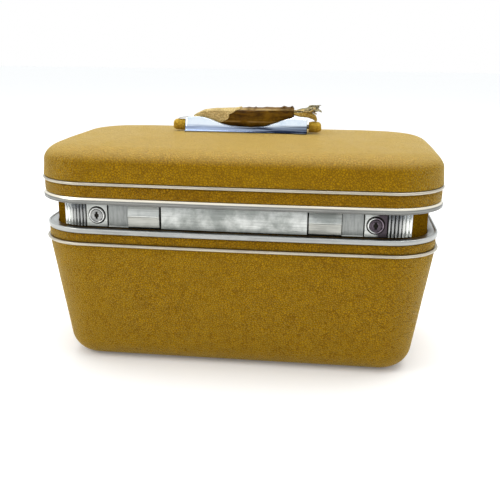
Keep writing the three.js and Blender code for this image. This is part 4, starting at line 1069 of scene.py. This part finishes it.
def make_grip(m):
    """The bared core, with knots of torn fibre along its top and a ragged right-hand end."""
    sides, rings = 96, []
    knots = ((-8, 2.5, 0.5), (2, 3.2, 0.8), (9, 1.6, 0.6), (37.5, 1.8, 1.1), (45.5, 1.2, 1.2))
    stations = [GRIP_START + (GRIP_END - GRIP_START) * i / 110 for i in range(111)]
    for x in stations:
        taper = min(1.0, max(0.0, GRIP_END - x) / 2.5) ** 0.5
        ring = []
        for angle in turns(sides):
            torn = -21 + 12 * max(math.sin(angle), -0.7)
            covered = 1 - clamp((x - torn) / 3)
            y, z, middle = grip_point(x, angle, -1.5 * covered)
            y, z = y * (0.6 + 0.4 * taper), middle + (z - middle) * (0.75 + 0.25 * taper)
            place = Vector((x, y, z))
            lump = lumps(place, 9, 0.45) + lumps(place, 2.6, 0.35) + lumps(Vector((x / 6, y, z)), 1.3, 0.25)
            if math.sin(angle) > 0.8:
                lump += sum(high * math.exp(-((x - at) / wide) ** 2) for at, wide, high in knots)
            direction = Vector((0, y, z - middle)).normalized()
            place += direction * min(lump, 1.5 if z > middle else 0.6) * (1 - 0.8 * covered)
            ring.append(tuple(place * MM))
        rings.append(ring)
    piece = skin("grip_core", rings, m["core"], False, 60)
    finish_piece(piece, "handle", "grip_core", "handle_core")


def make_wrap(m):
    """What is left of the vinyl: a sleeve, pointed at one end and torn off aslant at the other."""
    sides, steps = 120, 60
    rings = []
    for k in range(steps + 1):
        share = k / steps
        ring = []
        for angle in turns(sides):
            height = math.sin(angle)
            ragged = lumps(Vector((math.cos(angle) * 9, height * 9, 7)), 2.2, 3.2)
            ragged += lumps(Vector((math.cos(angle) * 9, height * 9, 17)), 0.8, 1.3)
            torn = min(-17 + 12 * max(height, -0.7) + ragged, -13.5 + 10 * max(height, 0))
            x = WRAP_START + (torn - WRAP_START) * share
            y, z, middle = grip_point(x, angle, 0.15)
            pinch = clamp((x - WRAP_START) / 8, 0.12) ** 0.6
            y *= pinch
            place = Vector((x, y, z))
            fold = lumps(place, 5, 0.35) + lumps(Vector((x / 7, angle * 6, 3)), 1.0, 0.3)
            lip = 1.1 * share ** 14 * (1 if height > -0.5 else 0.15)
            direction = Vector((0, y, z - middle)).normalized()
            place += direction * min(fold * pinch + lip, 1.1 if height > -0.3 else 0.3)
            place.x = max(place.x, WRAP_START - 0.4)
            ring.append(tuple(place * MM))
        rings.append(ring)
    piece = skin("grip_wrap", rings, m["wrap"], False, 60, far_cap=False)
    thicken(piece, VINYL_THICK, -1)
    finish_piece(piece, "handle", "mustard_vinyl", "handle_wrap")


def flap_point(u, v, start, lift, spread, twist, seed, reach):
    """A point of a torn flap, u of the way along it and v across it."""
    x = start + reach * u * (1 + 0.22 * wander(v * 4, seed, 0) + 0.12 * wander(v * 13, seed, 5))
    angle = twist * u + 0.5 * math.sin(5 * u + seed)
    across = (v - 0.5) * 2 * (2.0 + spread * u ** 0.8)
    pleat = (0.8 + 1.3 * u) * math.sin(10 * (v - 0.5) + seed) * math.sin(3 * u + 0.6)
    y = across * math.cos(angle) - pleat * math.sin(angle)
    z = COLLAR_Z + lift * u + across * math.sin(angle) * 0.8 + pleat * math.cos(angle) * 1.1
    spot = Vector((x, y, z))
    spot += Vector((
        1.7 * noise.noise(spot / 4 + Vector((seed, 0, 0))) * u,
        1.2 * noise.noise(spot / 4 + Vector((0, seed, 0))),
        1.3 * noise.noise(spot / 3 + Vector((0, 0, seed))),
    ))
    spot.z = clamp(spot.z, *COLLAR_HEIGHTS)
    return spot


def make_collar(m):
    """The bunched-up end of the wrap: three torn flaps, fanned out over the strap."""
    flaps = []
    for name, finish, wide, long, shape in (
        ("wrap_collar", "torn", 30, 34, (46.5, 3.8, 5.2, 0.7, 1.3, 25)),
        ("flap_b", "wrap", 26, 30, (46.5, 1.0, 4.4, -0.9, 4.1, 22)),
        ("flap_c", "torn", 22, 26, (48, 5.2, 3.0, 1.5, 7.7, 22)),
    ):
        vertices, faces = [], []
        for a in range(long + 1):
            for b in range(wide + 1):
                vertices.append(tuple(flap_point(a / long, b / wide, *shape) * MM))
        row = wide + 1
        for a in range(long):
            for b in range(wide):
                corner = a * row + b
                faces.append((corner, corner + 1, corner + row + 1, corner + row))
        flaps.append(thicken(new_object(name, vertices, faces, m[finish], 60), VINYL_THICK, 0))
    join_into(flaps[0], flaps[1:])
    finish_piece(flaps[0], "handle", "mustard_vinyl", "handle_collar")


def make_strap(m):
    """The vinyl-covered strap from the collar, over the saddle's end and down to the right-hand end cap."""
    route = [
        (47.5, 237.6), (52, 236.9), (58, 236.9), (63, 236.4), (66.8, 234.6), (68.8, 232.4), (69.4, 230.6),
    ]
    rings = []
    for k, (share, x, z, normal) in enumerate(along(smooth_route(route, 48))):
        swelling = math.sin(math.pi * min(1, share * 1.1))
        width, height = 3.4 + 1.4 * swelling, 1.4 + 1.6 * swelling
        ring = []
        for angle in turns(32):
            across = width * soften(math.cos(angle), 0.8)
            thick = height * math.sin(angle)
            spot = Vector((x + normal.x * thick, across, z + normal.y * thick))
            crease = lumps(spot, 2.4, 0.45) + lumps(Vector((k / 5, angle * 2, 9)), 1.0, 0.35)
            spot += Vector((normal.x * math.sin(angle), math.cos(angle), normal.y * math.sin(angle))) * crease
            ring.append(tuple(spot * MM))
        rings.append(ring)
    piece = skin("strap_end_right", rings, m["strap"], False, 60)
    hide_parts("handle_strap_right")
    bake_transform(piece)


def along(curve):
    """Each point of a route as a share of it, its two coordinates and the direction across the route."""
    last = len(curve) - 1
    for k, (x, z) in enumerate(curve):
        ahead, behind = curve[min(k + 1, last)], curve[max(k - 1, 0)]
        tangent = Vector((ahead[0] - behind[0], ahead[1] - behind[1])).normalized()
        yield k / last, x, z, Vector((-tangent.y, tangent.x))


def smooth_route(points, count):
    """Catmull-Rom through a few points."""
    out = []
    padded_points = [points[0], *points, points[-1]]
    spans = len(points) - 1
    for k in range(count + 1):
        t = spans * k / count
        i = min(int(t), spans - 1)
        t -= i
        a, b, c, d = (np.array(padded_points[i + n], float) for n in range(4))
        square, cube = 2 * a - 5 * b + 4 * c - d, 3 * b - a - 3 * c + d
        out.append(tuple(0.5 * (2 * b + (c - a) * t + square * t ** 2 + cube * t ** 3)))
    return out


def make_band(m):
    """The thin steel band at the left-hand end, bared where the vinyl has gone."""
    route = [(-69.6, 230.4), (-67.6, 231.2), (-64.6, 231.6), (-61.4, 231.9), (-58, 232.1), (-54.7, 232.5)]
    section = rounded([(-3.0, -0.3), (3.0, -0.3), (3.0, 0.3), (-3.0, 0.3)], 0.25, 2)
    rings = [
        [tuple(Vector((x + normal.x * c.y, c.x, z + normal.y * c.y)) * MM) for c in section]
        for _, x, z, normal in along(smooth_route(route, 24))
    ]
    piece = skin("strap_end_left", rings, m["bright_steel"], False, 40)
    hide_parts("handle_strap_left")
    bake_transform(piece)


def make_handle(m):
    make_saddle(m)
    for side, hand in SIDES:
        make_knob(side, hand, m)
    make_grip(m)
    make_wrap(m)
    make_collar(m)
    make_strap(m)
    make_band(m)


# ---------------------------------------------------------------- lining, pocket, tray and mirror
LINING_IN = 5.9
LINING_THICK = 1.2
NECK_LINING_IN = 2.9
LINING_TOP = 163.6
POCKET_HALF = 138.0
POCKET_BACK = 80.0
POCKET_BOW = 12.0
POCKET_HEIGHTS = (28.4, 92.0)
ELASTIC_HEIGHTS = (92.5, 98.8)
TRAY_PLAN = (166.0, 80.0, 26.0)
TRAY_HEIGHTS = (127.4, 158.0)
DIVIDER_X = 55.0
MIRROR_PLAN = (110.0, 58.0, 12.0)
MIRROR_FRAME_PLAN = (116.0, 64.0, 16.0)
LID_PANEL_Z = 205.5
PAD_CAP = 2.4
STRAIGHT = {"bow": 0, "corner": 12}
VOXEL_SIZE = 0.0036
SIM_FRAMES = 20


def folds(ring, seed, amount, wavelength=14.0):
    """Small upright puckers in a level, as glued cloth has."""
    centre_pull = []
    for x, y, z in ring:
        wave = wander(x / MM / wavelength, y / MM / wavelength, z / MM / 90 + seed)
        length = math.hypot(x, y)
        pull = 1 - amount * MM * max(wave, 0) / length
        centre_pull.append((x * pull, y * pull, z))
    return centre_pull


def make_lining(m):
    """A strip of cloth round the walls, turned in at both edges, and a floor panel."""
    heights = [20.5, 32, 45, 58, 70, 83, 95, 106, 115.5]
    collar = (
        (0, 121.2), (0, 142), (0, LINING_TOP), (0.35, LINING_TOP + 0.35), (0.9, LINING_TOP + 0.35),
        (LINING_THICK + 0.2, LINING_TOP - 0.3), (LINING_THICK, LINING_TOP - 2.5), (LINING_THICK, 142),
        (LINING_THICK, 121.4),
    )
    within = LINING_IN + LINING_THICK
    rings = [
        level(body_plan(5), LINING_IN + 13.6, 5.7, 0), wall_level(9.6, LINING_IN + 4.1),
        *[wall_level(z, LINING_IN + 0.05) for z in heights],
        *[level(NECK_PLAN, NECK_LINING_IN + distance, z) for distance, z in collar],
        *[folds(wall_level(z, within), 3.0, 0.35) for z in reversed(heights)],
        wall_level(10.8, within + 4.1),
        level(body_plan(6), within + 13.6, 6.8, 0),
    ]
    piece = skin("case_lining", rings, m["lining"], True, 50)
    windows = [cuboid(span(side, 56, 141), (-100, -80), (139.5, 166)) for side, _ in SIDES]
    subtract(piece, windows, 50)
    finish_piece(piece, "base", "lining_fabric", "base_lining")
    plan = inset(body_plan(7), 22.2)
    rings = [
        level(plan, 0.5, 7.0, 0), outline(plan, 7.4, 0), outline(plan, 8.0, 0),
        level(plan, 0.5, 8.5, 0), level(plan, 6, 8.9, 0),
        *[level(plan, 6, 8.9 + 0.3 * (1 - k / 6), 0, k / 6) for k in (5, 4, 3, 2, 1)],
    ]
    panel = skin("floor_panel", rings, m["lining"], False, 60)
    finish_piece(panel, "base", "lining_fabric")
    ledge = [(NECK_PLAN, 4.7, 123), (NECK_PLAN, 4.7, 127), (NECK_PLAN, 11, 127), (NECK_PLAN, 11, 125)]
    finish_piece(hoop("ledge_rim", ledge, m["tray"], 0.7), "base", "cream_plastic", "tray_ledge")


def pocket_face(x):
    """How far back the pocket's face stands: it bows towards the front."""
    return POCKET_BACK - POCKET_BOW * (1 - (x / POCKET_HALF) ** 4)


def make_pocket(m):
    """Satin pocket, ruched under its elastic: uneven pleats that die away towards the seam below."""
    low, high = POCKET_HEIGHTS
    columns = []
    steps, rows, thick = 420, 14, 0.7
    for i in range(steps + 1):
        x = -POCKET_HALF + 2 * POCKET_HALF * i / steps
        fade = min(1.0, (POCKET_HALF - abs(x)) / 12)
        phase = x / 7.5 * 2 * math.pi + 2.2 * wander(x / 17, 3, 0)
        front, back = [], []
        for k in range(rows + 1):
            share = k / rows
            z = low + (high - low) * share
            depth = (0.35 + 0.9 * share ** 1.5) * fade
            drift = phase + 0.9 * wander(x / 20, 0, z / 18)
            sag = 0.8 * math.sin(math.pi * share) * wander(x / 38, 7, z / 45) * fade
            y = pocket_face(x) + 0.55 + depth * math.sin(drift) + sag
            front.append((x * MM, (y - thick / 2) * MM, z * MM))
            back.append((x * MM, (y + thick / 2) * MM, z * MM))
        columns.append(front + back[::-1])
    pocket = skin("gathered_pocket", columns, m["satin"], False, 60)
    finish_piece(pocket, "base", "lining_fabric", "back_pocket")
    low, high = ELASTIC_HEIGHTS
    columns = []
    for i in range(steps + 1):
        x = -POCKET_HALF + 2 * POCKET_HALF * i / steps
        pucker = 0.32 * math.sin(x / 3.1 * 2 * math.pi + 1.5 * wander(x / 9, 5, 0))
        y = pocket_face(x) + 0.75
        section = rounded([(-1.0, low), (1.0, low), (1.0, high), (-1.0, high)], 0.9, 3)
        columns.append([
            (x * MM, (y + p.x * (1 + 0.3 * pucker) + (pucker if p.x < 0 else 0)) * MM, p.y * MM)
            for p in section
        ])
    band = skin("pocket_casing", columns, m["satin"], False, 60)
    finish_piece(band, "base", "lining_fabric", "pocket_elastic")


def make_tray(m):
    """Moulded tray with a rolled rim and rounded dividers."""
    bottom, top = TRAY_HEIGHTS
    profile = [
        (3.0, bottom), (1.4, bottom + 0.35), (0.6, bottom + 1.4), (0.0, top - 2.6), (-0.6, top - 2.0),
        (-2.6, top - 2.0), (-3.0, top - 1.6), (-3.0, top - 0.5), (-2.5, top), (1.4, top), (2.0, top - 0.6),
        (2.6, bottom + 4.0), (3.2, bottom + 2.6), (4.6, bottom + 2.0),
    ]
    rings = [level(TRAY_PLAN, distance, z, **STRAIGHT) for distance, z in profile]
    piece = skin("lift_out_tray", rings, m["tray"], False, 50)
    low, high, reach = bottom + 1.2, top - 8, TRAY_PLAN[1] - 2.1
    walls = []
    for middle, axis, end in ((-DIVIDER_X, "y", reach), (DIVIDER_X, "y", reach), (0, "x", DIVIDER_X)):
        section = [(middle - 1, low), (middle + 1, low), (middle + 1, high), (middle - 1, high)]
        walls.append(prism("divider", section, -end, end, axis, m["tray"], 0.6))
    join_into(piece, walls)
    finish_piece(piece, "tray", "cream_plastic", "tray")
    for side, hand in SIDES:
        make_tab(side, hand, m)


def make_tab(side, hand, m):
    """A ribbon doubled over into a loop, stitched to the tray's end wall."""
    face = TRAY_PLAN[0] - 3.5
    route = [
        (face + 0.36, 145.2), (face + 0.36, 152), (face + 0.34, 158), (face + 0.3, 161.5),
        (face - 0.2, 163.6), (face - 1.2, 163.9), (face - 1.9, 162.2), (face - 1.4, 158.5),
        (face - 0.55, 152), (face - 0.36, 145.2),
    ]
    section = [(-9 + 18 * i / 12, -0.24) for i in range(13)]
    section += [(9 - 18 * i / 12, 0.24) for i in range(13)]
    columns = []
    for _, x, z, normal in along(smooth_route(route, 44)):
        column = []
        for across, up in section:
            lift = up + 0.16 * wander(across / 4, z / 6, side)
            column.append((side * (x + normal.x * lift) * MM, across * MM, (z + normal.y * lift) * MM))
        columns.append(column)
    piece = skin(f"ribbon_loop_{hand}", columns, m["ribbon"], False, 60)
    finish_piece(piece, "tray", "lining_fabric", f"tray_tab_{hand}")


def make_mirror(m):
    """Bevelled mirror held by a rounded metal frame."""
    back = LID_PANEL_Z - 0.3
    frame_section = (
        (MIRROR_FRAME_PLAN, 1.6, 200.6), (MIRROR_FRAME_PLAN, 0.7, 200.75), (MIRROR_FRAME_PLAN, 0.15, 201.2),
        (MIRROR_FRAME_PLAN, 0, 201.9), (MIRROR_FRAME_PLAN, 0, back), (MIRROR_PLAN, -0.3, back),
        (MIRROR_PLAN, -0.3, 202.0), (MIRROR_PLAN, 1.7, 201.7), (MIRROR_PLAN, 2.0, 201.4),
        (MIRROR_PLAN, 1.8, 200.9), (MIRROR_PLAN, 1.2, 200.65),
    )
    surround = skin("mirror_surround", levels(*frame_section, **STRAIGHT), m["rail_plain"], True, 40)
    finish_piece(surround, "lid", "trim_aluminium", "mirror_frame")
    glass = [(MIRROR_PLAN, *place) for place in ((0.2, back), (0, back - 0.3), (0, 202.9), (7, 202.35))]
    pane = skin("mirror_glass_pane", levels(*glass, **STRAIGHT), m["mirror"], False, 4)
    finish_piece(pane, "lid", "mirror_glass", "mirror")


def swell(piece, pressure, cap, held_down):
    """Puffs a padded piece with a short cloth simulation, then limits how far any point has moved."""
    modify(piece, "REMESH", mode="VOXEL", voxel_size=VOXEL_SIZE)
    settle(piece, 180)
    start = [vertex.co.copy() for vertex in piece.data.vertices]
    pins = piece.vertex_groups.new(name="held")
    pins.add([i for i, co in enumerate(start) if held_down(co)], 1.0, "REPLACE")
    sim = piece.modifiers.new("cloth", "CLOTH")
    sim.settings.quality = 5
    sim.settings.use_pressure = True
    sim.settings.uniform_pressure_force = pressure
    sim.settings.vertex_group_mass = "held"
    sim.settings.effector_weights.gravity = 0
    sim.point_cache.frame_start, sim.point_cache.frame_end = 1, SIM_FRAMES
    for step in range(1, SIM_FRAMES + 1):
        bpy.context.scene.frame_set(step)
    settle(piece, 180)
    for vertex, home in zip(piece.data.vertices, start):
        moved = vertex.co - home
        if moved.length > cap:
            vertex.co = home + moved * (cap / moved.length)
    bpy.context.scene.frame_set(1)
    modify(piece, "SUBSURF", levels=1)
    settle(piece, 180)


def make_lid_padding(m):
    """The lid's lining: a ruched strip round the wall, and a padded panel with a welt under the crown."""
    wall = LID_WALL_PLAN
    outer = [(6.25, 176.8), (6.45, 184), (6.55, 192), (6.75, 196.5), (7.6, 199.6)]
    inner = [(9.3, 199.0), (8.9, 196.5), (8.3, 192), (7.8, 184), (7.5, 176.8)]
    rings = [level(wall, distance, z) for distance, z in outer]
    rings += [folds(level(wall, distance, z), 9.0, 0.5, 5.0) for distance, z in inner]
    strip = skin("lid_wall_lining", rings, m["lining"], True, 60)
    finish_piece(strip, "lid", "lining_fabric", "lid_lining")

    skin_above = lid_skin(6.0, [0.85, 0.6, 0.3])[6:]
    below = levels((wall, 11.6, 201.6), (wall, 15, 200.9), (wall, 21, 201), (wall, 27, 201.6))
    below += [level(wall, 27, 202, scale=scale) for scale in (0.8, 0.55, 0.3)]
    pad = skin("lid_pad", below[::-1] + skin_above, m["satin"], False, 180)

    def on_top(co):
        return co.z > 0.2085 or (abs(co.x) < 0.108 and abs(co.y) < 0.056)

    swell(pad, 3.0, PAD_CAP * MM, on_top)
    reach_x, reach_y = MIRROR_FRAME_PLAN[0] + 1.5, MIRROR_FRAME_PLAN[1] + 1.5
    for vertex in pad.data.vertices:
        x, y, z = vertex.co / MM
        outside = math.hypot(max(abs(x) - reach_x, 0), max(abs(y) - reach_y, 0))
        if z < 208:
            floor = LID_PANEL_Z + 0.1 - min(outside * 1.2, 7.0)
            vertex.co.z = max(z, floor) * MM
    heads = [cylinder(5.4, 207.3, 240, "z", (x, 0, 0), 32) for x in (-44, 44)]
    subtract(pad, heads, 60)
    finish_piece(pad, "lid", "lining_fabric", "lid_lining")
    welt = [(wall, 9.6, 199.5), (wall, 9.6, 201.3), (wall, 11.4, 201.3), (wall, 11.4, 199.5)]
    finish_piece(hoop("lid_welt", welt, m["ribbon"], 0.9, 4, 60), "lid", "lining_fabric", "lid_lining")


# ---------------------------------------------------------------- small steel parts
REFINED_ANGLE = 35


def refined(node, name, material, edge, body):
    """A copy of a CAD node with its flat faces made whole and its edges rounded."""
    data = bpy.data.meshes.new(name)
    with editing(data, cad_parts[node].data) as mesh:
        bmesh.ops.remove_doubles(mesh, verts=mesh.verts, dist=1e-6)
        bmesh.ops.dissolve_limit(mesh, angle_limit=math.radians(1), verts=mesh.verts, edges=mesh.edges)
    data.materials.append(material)
    made = bevel(place_object(name, data), edge, 2, REFINED_ANGLE)
    finish_piece(made, body, "plated_steel", node)


def make_fittings(m):
    paired = (
        ("hinge_base_leaf", "leaf_base", "steel", 0.15, "base"),
        ("hinge_lid_leaf", "leaf_lid", "steel", 0.15, "lid"),
        ("latch_strike", "strike", "steel", 0.3, "lid"),
        ("hinge_pin", "hinge_axle", "bright_steel", 0.25, "base"),
        ("strap_pin", "strap_peg", "steel", 0.3, "lid"),
    )
    for _, hand in SIDES:
        for node, name, finish, edge, body in paired:
            refined(f"{node}_{hand}", f"{name}_{hand}", m[finish], edge, body)
    for number in (1, 2, 3, 4):
        refined(f"hinge_rivet_{number}", f"rivet_{number}", m["steel"], 0.1, "base")
    for number in (1, 2):
        refined(f"saddle_screw_{number}", f"screw_{number}", m["steel"], 0.3, "lid")


# ---------------------------------------------------------------- everything
make_camera()
make_stage()
MATERIALS = make_materials()
make_base_shell(MATERIALS)
make_lid_shell(MATERIALS)
make_trims(MATERIALS)
make_neck(MATERIALS)
make_panel(MATERIALS)
make_handle(MATERIALS)
make_fittings(MATERIALS)
make_lining(MATERIALS)
make_pocket(MATERIALS)
make_tray(MATERIALS)
make_mirror(MATERIALS)
make_lid_padding(MATERIALS)
